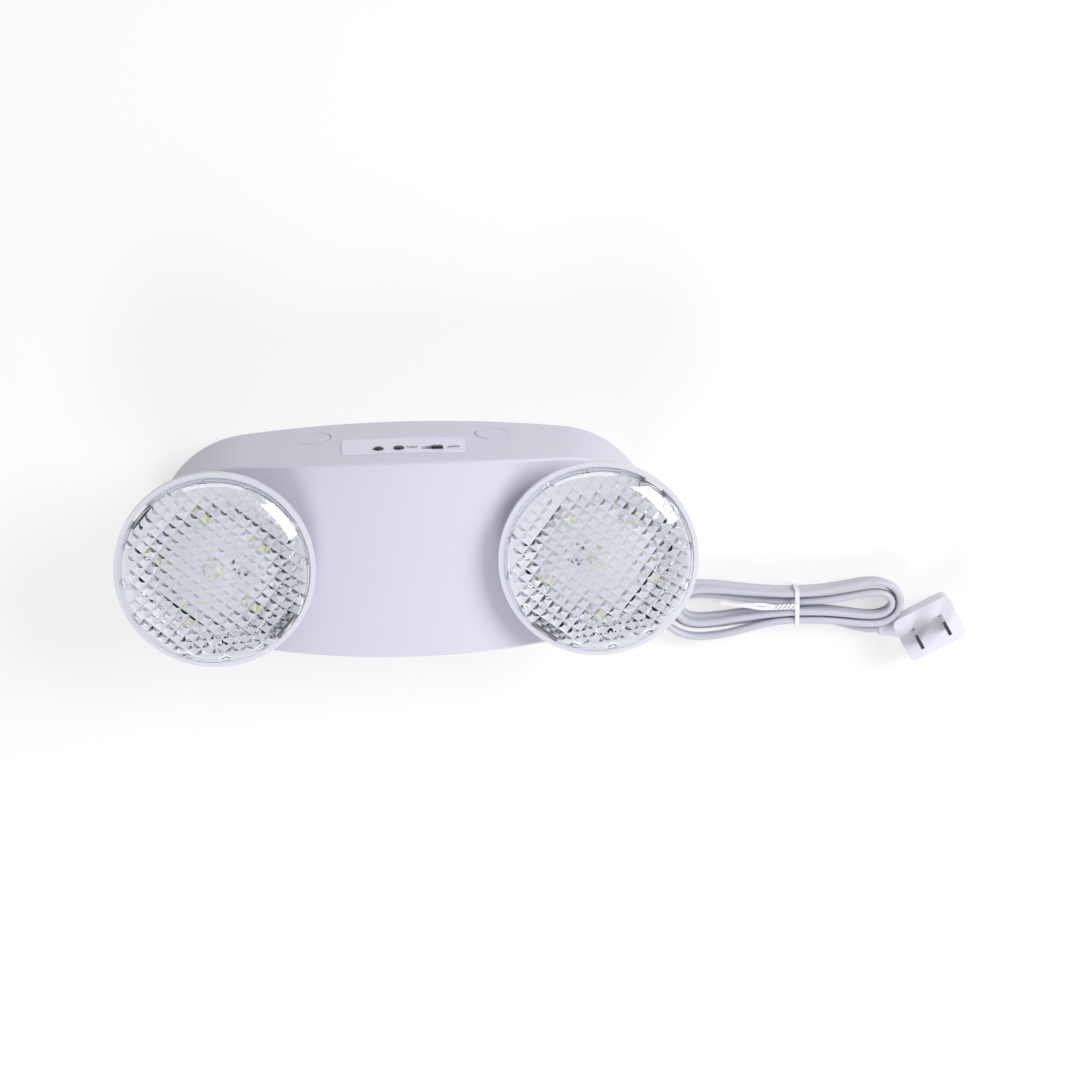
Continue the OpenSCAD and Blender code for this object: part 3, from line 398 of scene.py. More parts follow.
lensLook = {"tint": (252, 252, 253), "through": (246, 247, 249),
            "body": {"IOR": 1.49, "Coat Weight": 1.0, "Coat Roughness": 0.02},
            "effect": {"Roughness": 0.02, "Spread": 0.02, "Cloud Scale": 60}}
looks = {
    "housing": plastic("whiteHousing", (223, 220, 234), (219, 216, 231), 0.36),
    "headShell": plastic("whiteHeadShell", (230, 230, 238), (226, 226, 236), 0.35),
    "plate": plastic("whiteBackPlate", (222, 220, 232), (216, 214, 227), 0.5, 1600, 0.25),
    "label": plastic("labelFilm", (238, 239, 252), (234, 235, 250), 0.3, 900, 0.05),
    "ink": plastic("darkInk", (44, 42, 66), (36, 34, 56), 0.6, 3000, 0.05),
    "dark": plastic("darkPlastic", (38, 36, 44), (28, 27, 34), 0.45, 1800, 0.2),
    "lampCap": plastic("smokedLampCap", (30, 27, 38), (22, 20, 30), 0.12, 1500, 0.02),
    "reflector": plastic("whiteReflector", (244, 245, 250), (240, 241, 247), 0.16, 1200, 0.05),
    "lampBoard": plastic("paleLampBoard", (242, 243, 248), (237, 238, 245), 0.3, 1400, 0.08),
    "chipCase": plastic("chipCase", (238, 238, 232), (230, 230, 224), 0.35, 3000, 0.05),
    "phosphor": plastic("yellowPhosphor", (234, 235, 184), (228, 230, 168), 0.25, 2600, 0.1),
    # latch bars: a dark colour of painted shade for the latch slots seen through the lens
    "latch": plastic("latchShade", (46, 47, 56), (36, 37, 45), 0.35, 900, 0.2),
    "board": plastic("greenBoard", (58, 120, 78), (46, 104, 66), 0.3, 700, 0.1),
    "nylon": plastic("paleNylon", (232, 230, 220), (224, 222, 210), 0.4),
    "relay": plastic("relayCase", (44, 74, 132), (36, 64, 118), 0.35),
    "sleeve": plastic("canSleeve", (40, 48, 76), (32, 38, 64), 0.25),
    "wrap": plastic("cellWrap", (70, 150, 104), (58, 136, 92), 0.22, 500, 0.2),
    "tape": plastic("coilTape", (214, 176, 66), (200, 160, 52), 0.4, 700, 0.3),
    "wireDark": plastic("darkWire", (52, 52, 58), (44, 44, 50), 0.45),
    "wireWhite": plastic("whiteWire", (222, 224, 230), (214, 216, 224), 0.4),
    "wireRed": plastic("redWire", (170, 44, 44), (158, 38, 38), 0.45),
    "cord": plastic("softCord", (208, 208, 219), (201, 201, 213), 0.38, 1500, 0.12),
    "gland": plastic("softGland", (222, 221, 232), (216, 215, 227), 0.45),
    "tie": plastic("tieFilm", (244, 244, 250), (238, 238, 246), 0.25),
    "plug": plastic("plugMoulding", (237, 236, 247), (233, 232, 245), 0.34, 1500, 0.12),
    "zinc": metal("zincSteel", (206, 208, 214), (180, 182, 190), 0.28),
    "core": metal("coreSteel", (120, 124, 134), (90, 94, 104), 0.45, (200, 6000, 200)),
    "cell": metal("cellCan", (196, 202, 208), (176, 182, 190), 0.3, (3000, 300, 300)),
    "blade": metal("bladeNickel", (190, 188, 190), (160, 158, 162), 0.22, (3000, 3000, 300)),
    "lens": clearPlastic("clearLens", lensLook),
}
print("materials made:", len(looks))

# Cord: the route's points and the hank's formula are those of the CAD model, in millimetres from the gland
cordValues = {
    "thickness": 2.8, "width": 5.2, "webHalf": 1.14, "lobeCut": -35, "lobeSteps": 8, "ringStep": 1.5,
    "smooth": 50, "glandTurn": -43, "glandZ": 8, "glandPad": 0.6, "flange": 2, "relief": 20,
    "endCentre": 61.5, "endRadius": 41.5, "draft": 4.6,
    "loops": 3, "rings": 24, "step": 3.55, "half": 43.9, "mid": (67.2, -8.3), "lobe": 11.4, "waist": 1.5,
    "shift": 4.1, "bulgeShare": 0.12, "dip": 1, "climbShare": 0.15, "dipShare": 0.29, "turnShare": 0.04,
    "layerGap": 0.5, "tieLift": 0.8, "shiftPower": 4, "liftPower": 8, "tangentStep": 0.1,
    "lead": [(20.6, -18.7, -0.3), (23.4, -20.2, -0.8), (26.7, -21.2, -1.1), (30, -21.6, -1.2),
             (34, -21.5, -1), (41.5, -20.3, 0.1), (49.5, -18.4, 0.4), (57.5, -16.4, 0.7), (64.5, -15.2, 1)],
    "tail": [(80.2, -15.7, -4.8), (88.2, -17.9, -5.1), (95.2, -20, -4.7), (100.2, -21, -4)],
    "nose": (106.6, -21.3, -3.4),
}


def ease(x):
    u = min(1, max(0, x))
    return u * u * (3 - 2 * u)


def loopOffset(v, t):
    d = abs(t - v["loops"] / 2)
    spread = v["step"] * (math.hypot(d, v["turnShare"]) - v["turnShare"])
    return spread - v["dip"] * (1 - ease((d - v["climbShare"]) / (v["dipShare"] - v["climbShare"])))


def loopBase(v, a):
    c, s = math.cos(a), math.sin(a)
    return Vector((v["half"] * c * (1 + v["bulgeShare"] * s * s) + v["shift"] * s ** v["shiftPower"],
                   s * (v["lobe"] * c * c + v["waist"] * s * s)))


def glandPoint(v, out):
    a, tan = math.radians(v["glandTurn"]), math.tan(math.radians(v["draft"]))
    ray = Vector((math.cos(a), math.sin(a), 0))
    reach = v["endRadius"] - v["glandZ"] * tan + v["glandPad"] + out
    return Vector((v["endCentre"], 0, v["glandZ"])) + ray * reach, ray


def hankMiddle(v):
    return glandPoint(v, 0)[0].xy + Vector(v["mid"])


# A point of the hank after t turns: three flat loops side by side, laid on one another in two layers
def loopPoint(v, t):
    a = math.radians(360 * t - 90)
    near = math.radians(v["tangentStep"])
    ahead = (loopBase(v, a + near) - loopBase(v, a - near)).normalized()
    q = hankMiddle(v) + loopBase(v, a) + Vector((ahead.y, -ahead.x)) * loopOffset(v, t)
    down = ease((t - v["loops"] / 2 + v["climbShare"]) / (2 * v["climbShare"]))
    layer = v["width"] / 2 + (v["width"] + v["layerGap"]) * (1 - down)
    return Vector((q.x, q.y, layer + v["tieLift"] * math.sin(a) ** v["liftPower"]))


def cordRoute(v):
    tip, ray = glandPoint(v, v["flange"] + v["relief"])
    root = glandPoint(v, 0)[0]
    hank = [loopPoint(v, i / v["rings"]) for i in range(v["loops"] * v["rings"] + 1)]
    step, nose = Vector((v["thickness"], 0, 0)), root + Vector(v["nose"])
    lead = [tip, tip + ray * v["width"] / 2] + [root + Vector(p) for p in v["lead"]] + [hank[0] - step]
    tail = [hank[-1] + step] + [root + Vector(p) for p in v["tail"]] + [nose - step, nose]
    return lead + hank + tail


def smoothLine(points, step):
    out = []
    for i in range(len(points) - 1):
        a, b = points[max(i - 1, 0)], points[i]
        c, d = points[i + 1], points[min(i + 2, len(points) - 1)]
        if i == 0:
            a = b * 2 - c
        if i == len(points) - 2:
            d = c * 2 - b
        span = (c - b).length
        inward = (c - a).normalized() * span
        outward = (d - b).normalized() * span
        count = max(1, round(span / step))
        for k in range(count):
            t = k / count
            out.append(b * (2 * t ** 3 - 3 * t * t + 1) + inward * (t ** 3 - 2 * t * t + t)
                       + c * (3 * t * t - 2 * t ** 3) + outward * (t ** 3 - t * t))
    return out + [points[-1]]


def twinSection(v):
    radius, centre = v["thickness"] / 2, (v["width"] - v["thickness"]) / 2
    low = math.radians(v["lobeCut"])
    arc = [low + (math.pi / 2 - low) * k / v["lobeSteps"] for k in range(v["lobeSteps"] + 1)]
    upper = [(radius * math.cos(a), centre + radius * math.sin(a)) for a in arc]
    right = [(x, -y) for x, y in reversed(upper)] + [(v["webHalf"], 0)] + upper
    return right + [(-x, y) for x, y in reversed(right[1:-1])]


def sweep(name, line, section):
    points, faces = [], []
    count = len(section)
    for i, p in enumerate(line):
        ahead = (line[min(i + 1, len(line) - 1)] - line[max(i - 1, 0)]).normalized()
        side = ahead.cross(Vector((0, 0, 1))).normalized()
        rise = side.cross(ahead)
        points += [p + side * x + rise * y for x, y in section]
    for i in range(len(line) - 1):
        for k in range(count):
            m = (k + 1) % count
            faces.append([i * count + k, i * count + m, (i + 1) * count + m, (i + 1) * count + k])
    faces.append(list(range(count))[::-1])
    faces.append([(len(line) - 1) * count + k for k in range(count)])
    return tidied(meshFrom(name, points, faces))


cordLine = smoothLine(cordRoute(cordValues), cordValues["ringStep"])
cord = sweep("mains_cord", cordLine, twinSection(cordValues))
smoothByAngle(cord, cordValues["smooth"])
dressed(cord, "cord", "root", "cord_white", "cord_lead", "cord_hank", "cord_tail")

# Plug: the CAD model's moulding and its two nickel blades, with rounded edges
plugValues = {"moulding": {"bevel": 0.9, "segments": 4, "angle": 34, "smooth": 40},
              "blades": {"bevel": 0.18, "angle": 40, "smooth": 40}}


def makePlug():
    body = cadCopy("plug_body", "plug_moulding", **plugValues["moulding"])
    dressed(body, "plug", "root", "plug_white", "plug_body")
    blades = cadCopy("plug_blades", "plug_blade_pair", **plugValues["blades"])
    dressed(blades, "blade", "root", "blade_metal", "plug_blades")
    return [body, blades]


plugPieces = makePlug()

# Twist tie: a flat band round the hank, a twisted pair and two loose ends
tieValues = {
    "bandWidth": 1.8, "bandThick": 0.5, "corner": 1.4, "cornerSteps": 6, "play": 0.15, "smooth": 40,
    "rootShare": 0.3, "rootBack": 6.5, "rootLift": 0.55, "twistLength": 9, "twistTurns": 2.5, "twistSteps": 40,
    "twistRadius": 0.75, "twistStart": 0.3, "twistOpens": 6, "twistLift": 0.35, "twistFlat": 0.6,
    "wireHalf": 0.65, "wireShares": (0.9, 0.55), "wireSides": 8,
    "ribbon": 1.4, "ribbonThick": 0.3, "crease": 1.5, "tailLift": 0.3, "tailStep": 1.0,
    "tails": [[(-9, 0.4, 0.2), (-16, 1.6, 0.4), (-24, 1.4, 0.1), (-32, 2.6, -0.1)],
              [(-9, -0.4, 0), (-15, -0.2, 0.4), (-21, 0.9, 0.3), (-27, 1.7, 0.2)]],
}


def ribbonSection(v):
    half, t = v["ribbon"] / 2, v["ribbonThick"] / 2
    mid = t * v["crease"]
    return [(-half, -t), (0, -mid), (half, -t), (half, t), (0, mid), (-half, t)]


# The band lies close round the strands at the hank's waist
def tieBand(v, c):
    runs = [loopPoint(c, k + h) for k in range(c["loops"]) for h in (0, 0.5)] + [loopPoint(c, c["loops"])]
    room = v["play"] + v["bandThick"] / 2
    yLow = min(p.y for p in runs) - c["thickness"] / 2 - room
    yHigh = max(p.y for p in runs) + c["thickness"] / 2 + room
    zLow, zHigh = c["tieLift"] - room, c["tieLift"] + 2 * c["width"] + c["layerGap"] + room
    midX = hankMiddle(c).x + c["shift"]
    corners = [Vector(q) for q in ((yLow, zLow), (yHigh, zLow), (yHigh, zHigh), (yLow, zHigh))]
    ring = roundedRing(corners, v["corner"], v["cornerSteps"])
    half, t = v["bandWidth"] / 2, v["bandThick"] / 2
    points, faces = [], []
    count = len(ring)
    centre = Vector(((yLow + yHigh) / 2, (zLow + zHigh) / 2))
    for x in (-half, half):
        for sign in (-1, 1):
            for k, q in enumerate(ring):
                ahead = ring[(k + 1) % count] - ring[k - 1]
                outward = Vector((ahead.y, -ahead.x)).normalized()
                if outward.dot(q - centre) < 0:
                    outward = -outward
                p = q + outward * t * sign
                points.append((midX + x, p.x, p.y))
    for k in range(count):
        m = (k + 1) % count
        a, b, d, e = (n * count for n in range(4))
        faces += [[a + k, a + m, b + m, b + k], [d + k, e + k, e + m, d + m],
                  [a + k, d + k, d + m, a + m], [b + k, b + m, e + m, e + k]]
    root = Vector((midX - half * v["rootShare"], yHigh - v["rootBack"], zHigh + v["rootLift"]))
    return tidied(meshFrom("tie_band", points, faces)), root


def makeTie():
    v = tieValues
    band, root = tieBand(v, cordValues)
    parts = [band]
    strand = circle(v["wireSides"], *(v["wireHalf"] * share for share in v["wireShares"]))
    for phase in (0, math.pi):
        line = []
        for k in range(v["twistSteps"] + 1):
            s = k / v["twistSteps"]
            a = phase + 2 * math.pi * v["twistTurns"] * s
            r = v["twistRadius"] * min(1, s * v["twistOpens"] + v["twistStart"])
            rise = v["twistLift"] + r * v["twistFlat"] * math.sin(a)
            line.append(root + Vector((-v["twistLength"] * s, r * math.cos(a), rise)))
        parts.append(sweep("tie_twist", line, strand))
    for tail in v["tails"]:
        line = smoothLine([root + Vector(p) + Vector((0, 0, v["tailLift"])) for p in tail], v["tailStep"])
        parts.append(sweep("tie_tail", line, ribbonSection(v)))
    tie = joined("twist_tie_band", parts)
    smoothByAngle(tie, v["smooth"])
    return dressed(tie, "tie", "root", "tie_white", "twist_tie")


tie = makeTie()
print("plug and tie made")

# Front cover: drafted oval wall, crowned front, rounded edge, on concentric rings
coverValues = {
    "halfWidth": 103, "halfHeight": 45, "endRadius": 41.5, "depth": 52.4, "crownHalf": 103.5, "draft": 4.6,
    "wall": 2.2, "edge": 1.3, "innerEdge": 0.4, "endSteps": 30, "sideSteps": 44, "wallRows": 10,
    "edgeSteps": 7, "roofRows": 28, "halvings": 50, "weld": 0.003, "smooth": 30,
    "boss": 15, "bossUp": 1, "bossSink": 3, "bossEdge": 0.5, "bossSteps": 96, "boreRadius": 7.05,
    "boreDepth": 20, "pinUp": 6.75,
    "knockX": 36.5, "knockZ": 15.7, "knockRadius": 7.3, "knockGroove": 0.6, "knockOut": 2, "knockSteps": 72,
    "panelZ": 35, "buttonX": -1.9, "lampX": -10.2, "holeRadius": 2.2, "slideX": 11.5, "slide": (9, 3.6),
    "panelReach": (34, 60), "glandPad": 5.5, "glandSink": 2, "glandHole": 4.7, "glandReach": (-9, 6),
}


# Oval outline: round ends of endRadius, joined by flatter arcs of radius arcR about (0, arcY)
def outlineSetup(v):
    endC = v["halfWidth"] - v["endRadius"]
    h = v["halfHeight"]
    arcR = (endC ** 2 + h ** 2 - v["endRadius"] ** 2) / (2 * (h - v["endRadius"]))
    arcY = h - arcR
    return endC, arcR, arcY, math.atan2(endC, -arcY)


def outlineSamples(v):
    turn = outlineSetup(v)[3]
    quarter = math.pi / 2 - turn
    right = [("end", quarter * k / v["endSteps"]) for k in range(v["endSteps"])]
    middle = [("side", turn - 2 * turn * k / v["sideSteps"]) for k in range(v["sideSteps"] + 1)]
    left = [("left", math.pi - quarter * k / v["endSteps"]) for k in range(v["endSteps"] - 1, -1, -1)]
    return right + middle + left


def outlineAt(v, sample, inset, z):
    endC, arcR, arcY, _ = outlineSetup(v)
    kind, a = sample
    if kind == "side":
        normal = Vector((math.sin(a), math.cos(a)))
        base = Vector((0, arcY)) + normal * (arcR - inset)
    else:
        normal = Vector((math.cos(a), math.sin(a)))
        base = Vector((endC if kind == "end" else -endC, 0)) + normal * (v["endRadius"] - inset)
    tan = math.tan(math.radians(v["draft"]))
    base.x *= 1 - z * tan / (v["halfWidth"] - inset)
    base.y *= 1 - z * tan / (v["halfHeight"] - inset)
    return base, normal


def crownAt(v, x, inset=0.0):
    return (v["depth"] - inset) * math.sqrt(max(0.0, 1 - (x / (v["crownHalf"] - inset)) ** 2))


def wallPoint(v, sample, inset, z):
    p, _ = outlineAt(v, sample, inset, z)
    return Vector((p.x, p.y, z))


# One column of the shell: up the drafted wall, then round the edge to the crown
def edgeRings(v, sample, inset, radius):
    total = inset + radius
    low, high = 0.0, v["depth"]
    for _ in range(v["halvings"]):
        z = (low + high) / 2
        low, high = (z, high) if z < crownAt(v, wallPoint(v, sample, total, z).x, total) else (low, z)
    centre, flat = wallPoint(v, sample, total, low), outlineAt(v, sample, total, low)[1]
    d = math.radians(v["draft"])
    wallNormal = Vector((flat.x * math.cos(d), flat.y * math.cos(d), math.sin(d)))
    a, b = v["crownHalf"] - total, v["depth"] - total
    crownNormal = Vector((centre.x / a ** 2, 0, centre.z / b ** 2)).normalized()
    foot, tip = centre + wallNormal * radius, centre + crownNormal * radius
    footFix = wallPoint(v, sample, inset, foot.z) - foot
    tipFix = Vector((tip.x, tip.y, crownAt(v, tip.x, inset))) - tip
    column = [wallPoint(v, sample, inset, foot.z * k / v["wallRows"]) for k in range(v["wallRows"])]
    angle = wallNormal.angle(crownNormal)
    for k in range(v["edgeSteps"] + 1):
        s = k / v["edgeSteps"]
        n = (wallNormal * math.sin((1 - s) * angle) + crownNormal * math.sin(s * angle)) / math.sin(angle)
        column.append(centre + n * radius + footFix * (1 - s) + tipFix * s)
    return column


def coverShell(v, inset, radius):
    samples = outlineSamples(v)
    columns = [edgeRings(v, s, inset, radius) for s in samples]
    height = len(columns[0])
    last = len(samples) - 1
    points, faces = [], []
    index = {}

    def vertex(key, p):
        if key not in index:
            index[key] = len(points)
            points.append(tuple(p))
        return index[key]

    def wallVertex(i, side, row):
        p = columns[i][row]
        if i in (0, last):
            return vertex(("w", i, 0, row), (p.x, 0, p.z))
        return vertex(("w", i, side, row), (p.x, p.y * side, p.z))

    def roofVertex(i, m):
        if i in (0, last):
            return wallVertex(i, 1, height - 1)
        if m in (0, v["roofRows"]):
            return wallVertex(i, 1 if m == 0 else -1, height - 1)
        p = columns[i][height - 1]
        return vertex(("r", i, m), (p.x, p.y * (1 - 2 * m / v["roofRows"]), crownAt(v, p.x, inset)))

    square = ((0, 0), (1, 0), (1, 1), (0, 1))
    for i in range(last):
        for side in (1, -1):
            for row in range(height - 1):
                faces.append([wallVertex(i + a, side, row + b) for a, b in square][::side])
        for m in range(v["roofRows"]):
            corners = list(dict.fromkeys(roofVertex(i + a, m + b) for a, b in square))
            if len(corners) > 2:
                faces.append(corners)
    rim = [wallVertex(i, 1, 0) for i in range(last + 1)]
    return points, faces, rim + [wallVertex(i, -1, 0) for i in range(last - 1, 0, -1)]


def coverWall(v):
    outside, outFaces, outRim = coverShell(v, 0, v["edge"])
    inside, inFaces, inRim = coverShell(v, v["wall"], v["innerEdge"])
    shift = len(outside)
    faces = [f[::-1] for f in outFaces] + [[n + shift for n in f] for f in inFaces]
    for k in range(len(outRim)):
        m = (k + 1) % len(outRim)
        faces.append([outRim[k], outRim[m], inRim[m] + shift, inRim[k] + shift])
    return tidied(meshFrom("front_cover_shell", outside + inside, faces), 0)


# Ring grooves of the two knock-outs, square to the drafted wall
def knockOuts(v):
    _, arcR, arcY, _ = outlineSetup(v)
    share = (v["halfHeight"] - v["knockZ"] * math.tan(math.radians(v["draft"]))) / v["halfHeight"]
    tilt = turned(v["draft"] - 90, "X")
    outer, sink, out = v["knockRadius"], -v["knockGroove"], v["knockOut"]
    inner = outer - v["knockGroove"]
    groove = [(inner, sink), (outer, sink), (outer, out), (inner, out)]
    rings = []
    for x in (-v["knockX"], v["knockX"]):
        y = (arcY + math.sqrt(arcR ** 2 - x * x)) * share
        rings.append(placed(lathe("ring", groove, v["knockSteps"], True), moved(x, y, v["knockZ"]) @ tilt))
    return rings


def panelOpenings(v):
    near, far = v["panelReach"]
    openings = []
    for x in (v["buttonX"], v["lampX"]):
        openings.append(placed(disc(v["holeRadius"], near, far), moved(x, 0, v["panelZ"]) @ turned(-90, "X")))
    long, tall = v["slide"]
    openings.append(boxPiece("window", (v["slideX"] - long / 2, near, v["panelZ"] - tall / 2),
                             (v["slideX"] + long / 2, far, v["panelZ"] + tall / 2)))
    return openings


def makeCover():
    v = coverValues
    cover = coverWall(v)
    adds, cuts = [], []
    for side in sides:
        at = pinFrame(side, True)
        boss = disc(v["boss"], -v["pinUp"] - v["bossSink"], -v["pinUp"] + v["bossUp"], v["bossSteps"])
        adds.append(placed(bevelled(boss, v["bossEdge"]), at))
        cuts.append(placed(disc(v["boreRadius"], -v["boreDepth"], 0, v["bossSteps"]), at))
    gland, _ = glandPoint(cordValues, 0)
    atGland = moved(*gland) @ turned(cordValues["glandTurn"], "Z") @ turned(90, "Y")
    adds.append(placed(disc(v["glandPad"], -v["glandSink"], 0), atGland))
    cuts.append(placed(disc(v["glandHole"], *v["glandReach"]), atGland))
    cuts += knockOuts(v) + panelOpenings(v)
    cutBy(cover, joined("added", adds), "UNION")
    cutBy(cover, joined("cutters", cuts))
    tidied(cover, v["weld"], False)
    smoothByAngle(cover, v["smooth"])
    return dressed(cover, "housing", "root", "housing_white", "front_cover")


cover = makeCover()
print("cover made:", len(cover.data.polygons), "faces")

# Lamp heads
headValues = {
    "rim": 40.4, "rimWidth": 2, "rimBand": 3, "rimUp": 16, "segments": 160, "turns": {"left": 140, "right": 53},
    "lensThick": 1.5, "lensRise": 7.2, "lensEdge": 2, "lensFlat": 27, "skirt": 1.1, "gap": 0.65,
    "shoulder": 16, "shoulderSteps": 22, "crown": 0.5, "crownSteps": 12, "skirtSteps": 10, "skirtDrop": 0.6,
    "lensCorner": 0.35, "cornerShare": 0.3, "lensWeld": 0.01, "facetAngle": 15,
    "cell": 4.2, "fieldRadius": 35.9, "fieldRing": 36.4, "depthShares": (0.76, 1.14),
    "pyramid": {"Foot Height": 0.02, "Foot Share": 0.95, "Side Height": 1.0, "Side Share": 0.3,
                "Tip Height": 0.1, "Tip Share": 0.14},
    "chipTurns": {"left": 98, "right": -91}, "chipRing": 22, "chipCount": 5, "chipCase": 5, "chipSmooth": 40,
    "caseEdge": 0.25, "caseHeight": 1.125, "domeRadius": 1.75, "domeFlat": 0.42, "domeSteps": 8,
    "domeSink": 0.2, "domeSides": 28,
    "latchWidth": 12, "latchRadii": (34.6, 36.6), "latchHeights": (12.9, 16.9), "latchEdge": 0.25,
    "shellEdges": {"bevel": 0.35, "segments": 4, "angle": 28, "smooth": 24}, "normalWeight": 100,
    "copies": [("reflector_", "reflector", "head_", "reflector_white", 0.12),
               ("lamp_board_", "lampBoard", "head_", "board_pale", 0.12),
               ("swivel_", "headShell", "swivel_", "head_white", 0.3),
               ("swivel_clip_", "zinc", "swivel_", "steel", 0.12),
               ("hinge_bolt_", "zinc", "swivel_", "steel", 0.15),
               ("hinge_nut_", "zinc", "swivel_", "steel", 0.2)],
}


# Height of the lens's outside at a radius: a slightly crowned middle and a round shoulder
def lensTop(v, r):
    flat, top = v["lensFlat"], v["rimUp"] + v["lensRise"]
    if r <= flat:
        return top - v["crown"] * (r / flat) ** 2
    return top - v["crown"] - v["shoulder"] + math.sqrt(v["shoulder"] ** 2 - (r - flat) ** 2)


# A round field of square cells, each drawn up to a pyramid in three steps: foot, side and tip
pyramidParts = ("Foot", "Side", "Tip")


def pyramidTree():
    inputs = [("Cell", "Float"), ("Cells", "Int"), ("Radius", "Float"), ("Material", "Material")]
    inputs += [(part + what, "Float") for part in pyramidParts for what in (" Height", " Share")]
    tree, given, out = newGroup("pyramidField", "Geometry", inputs, [("Geometry", "Geometry")])
    size = addNode(tree, "ShaderNodeMath", {"operation": "MULTIPLY"}, i0=given.outputs["Cell"],
                   i1=given.outputs["Cells"])
    count = addNode(tree, "ShaderNodeMath", {"operation": "ADD", 1: 1.0}, i0=given.outputs["Cells"])
    grid = addNode(tree, "GeometryNodeMeshGrid", i0=size, i1=size, i2=count, i3=count)
    place = tree.nodes.new("GeometryNodeInputPosition")
    reach = addNode(tree, "ShaderNodeVectorMath", {"operation": "LENGTH"}, i0=place)
    far = addNode(tree, "FunctionNodeCompare", {"operation": "GREATER_THAN"}, i0=reach.outputs["Value"],
                  i1=given.outputs["Radius"])
    shaped = addNode(tree, "GeometryNodeDeleteGeometry", {"domain": "FACE"}, i0=grid, i1=far)
    chosen = {}
    for part in pyramidParts:
        tall = addNode(tree, "GeometryNodeExtrudeMesh", {"mode": "FACES", "Individual": True}, i0=shaped,
                       i3=given.outputs[part + " Height"], **chosen)
        chosen = {"i1": tall.outputs["Top"]}
        shaped = addNode(tree, "GeometryNodeScaleElements", {"domain": "FACE"}, i0=tall,
                         i2=given.outputs[part + " Share"], **chosen)
    real = addNode(tree, "GeometryNodeRealizeInstances", i0=shaped)
    paint = addNode(tree, "GeometryNodeSetMaterial", i0=real, Material=given.outputs["Material"])
    tree.links.new(paint.outputs[0], out.inputs[0])
    return tree


pyramids = pyramidTree()


def pyramidField(v):
    carrier = meshFrom("pyramid_field", [(0, 0, 0)], [])
    modifier = carrier.modifiers.new("field", "NODES")
    modifier.node_group = pyramids
    inputs = {"Cell": v["cell"] * mm, "Cells": int(2 * v["fieldRadius"] / v["cell"]) + 2,
              "Radius": v["fieldRadius"] * mm, "Material": looks["lens"]}
    inputs.update({name: value * (mm if "Height" in name else 1) for name, value in v["pyramid"].items()})
    for item in pyramids.interface.items_tree:
        if item.in_out == "INPUT":
            modifier[item.identifier] = inputs[item.name]
    return applied(carrier)


# The lens's inside: the field, turned and hung from a ring by a plain border, then lifted under the outside
def innerSurface(v, turn):
    field = tidied(pyramidField(v), recalc=False)
    mesh = bmesh.new()
    mesh.from_mesh(field.data)
    bpy.data.objects.remove(field)
    middle, edge = v["depthShares"]
    for vert in mesh.verts:
        out = math.hypot(vert.co.x, vert.co.y) / mm / v["fieldRadius"]
        vert.co.z = -abs(vert.co.z) * (middle + (edge - middle) * out ** 2)
    bmesh.ops.rotate(mesh, cent=(0, 0, 0), matrix=turned(turn, "Z").to_3x3(), verts=mesh.verts)
    rimEdges = [e for e in mesh.edges if e.is_boundary]
    r = v["fieldRing"] * mm
    ring = [mesh.verts.new((x, y, 0)) for x, y in circle(v["segments"], r, r)]
    ringEdges = [mesh.edges.new((ring[k], ring[(k + 1) % len(ring)])) for k in range(len(ring))]
    bmesh.ops.triangle_fill(mesh, use_beauty=True, use_dissolve=False, edges=rimEdges + ringEdges,
                            normal=Vector((0, 0, 1)))
    border = set(ringEdges)
    stray = [f for f in mesh.faces if any(e.is_boundary and e not in border for e in f.edges)]
    bmesh.ops.delete(mesh, geom=stray, context="FACES")
    for vert in mesh.verts:
        r = math.hypot(vert.co.x, vert.co.y) / mm
        vert.co.z += (lensTop(v, r) - v["lensThick"]) * mm
    return pieceFrom("inner", mesh)


# Outside, rim edge and the skirt's inside, down to the ring where the inside starts
def lensProfile(v):
    out = v["rim"] - v["rimWidth"] - v["gap"]
    inner = out - v["skirt"]
    ledge = v["rimUp"] - v["rimBand"] - v["skirtDrop"]
    rise = v["rimUp"] + v["lensEdge"] - v["skirtDrop"]
    corner, share = v["lensCorner"], v["lensCorner"] * v["cornerShare"]
    middle = [v["lensFlat"] * k / v["crownSteps"] for k in range(v["crownSteps"] + 1)]
    bends = [math.pi / 2 * k / v["shoulderSteps"] for k in range(1, v["shoulderSteps"] + 1)]
    shoulder = [v["lensFlat"] + (out - v["lensFlat"]) * math.sin(t) for t in bends]
    profile = [(r, lensTop(v, r)) for r in middle + shoulder]
    profile += [(out, ledge + corner), (out - share, ledge + share), (out - corner, ledge)]
    profile += [(inner + corner, ledge), (inner, ledge + corner), (inner, rise)]
    ringZ = lensTop(v, v["fieldRing"]) - v["lensThick"]
    for k in range(1, v["skirtSteps"]):
        t = math.pi / 2 * k / v["skirtSteps"]
        r = inner - (inner - v["fieldRing"]) * (1 - math.cos(t))
        profile.append((r, rise + (ringZ - rise) * math.sin(t)))
    return profile + [(v["fieldRing"], ringZ)]


def makeLens(side):
    v = headValues
    shell = lathe("shell", lensProfile(v), v["segments"])
    lens = tidied(joined("lens_dome_" + side, [shell, innerSurface(v, v["turns"][side])]), v["lensWeld"])
    smoothByAngle(lens, v["facetAngle"])
    placed(lens, pinFrame(side))
    dressed(lens, "lens", "head_" + side, "lens_clear", "lens_" + side)


def chipDome(v):
    radius, sink = v["domeRadius"], -v["domeSink"]
    profile = [(0, radius * v["domeFlat"])]
    for k in range(1, v["domeSteps"] + 1):
        t = math.pi / 2 * k / v["domeSteps"]
        profile.append((radius * math.sin(t), radius * v["domeFlat"] * math.cos(t)))
    return lathe("dome", profile + [(radius, sink), (0, sink)], v["domeSides"])


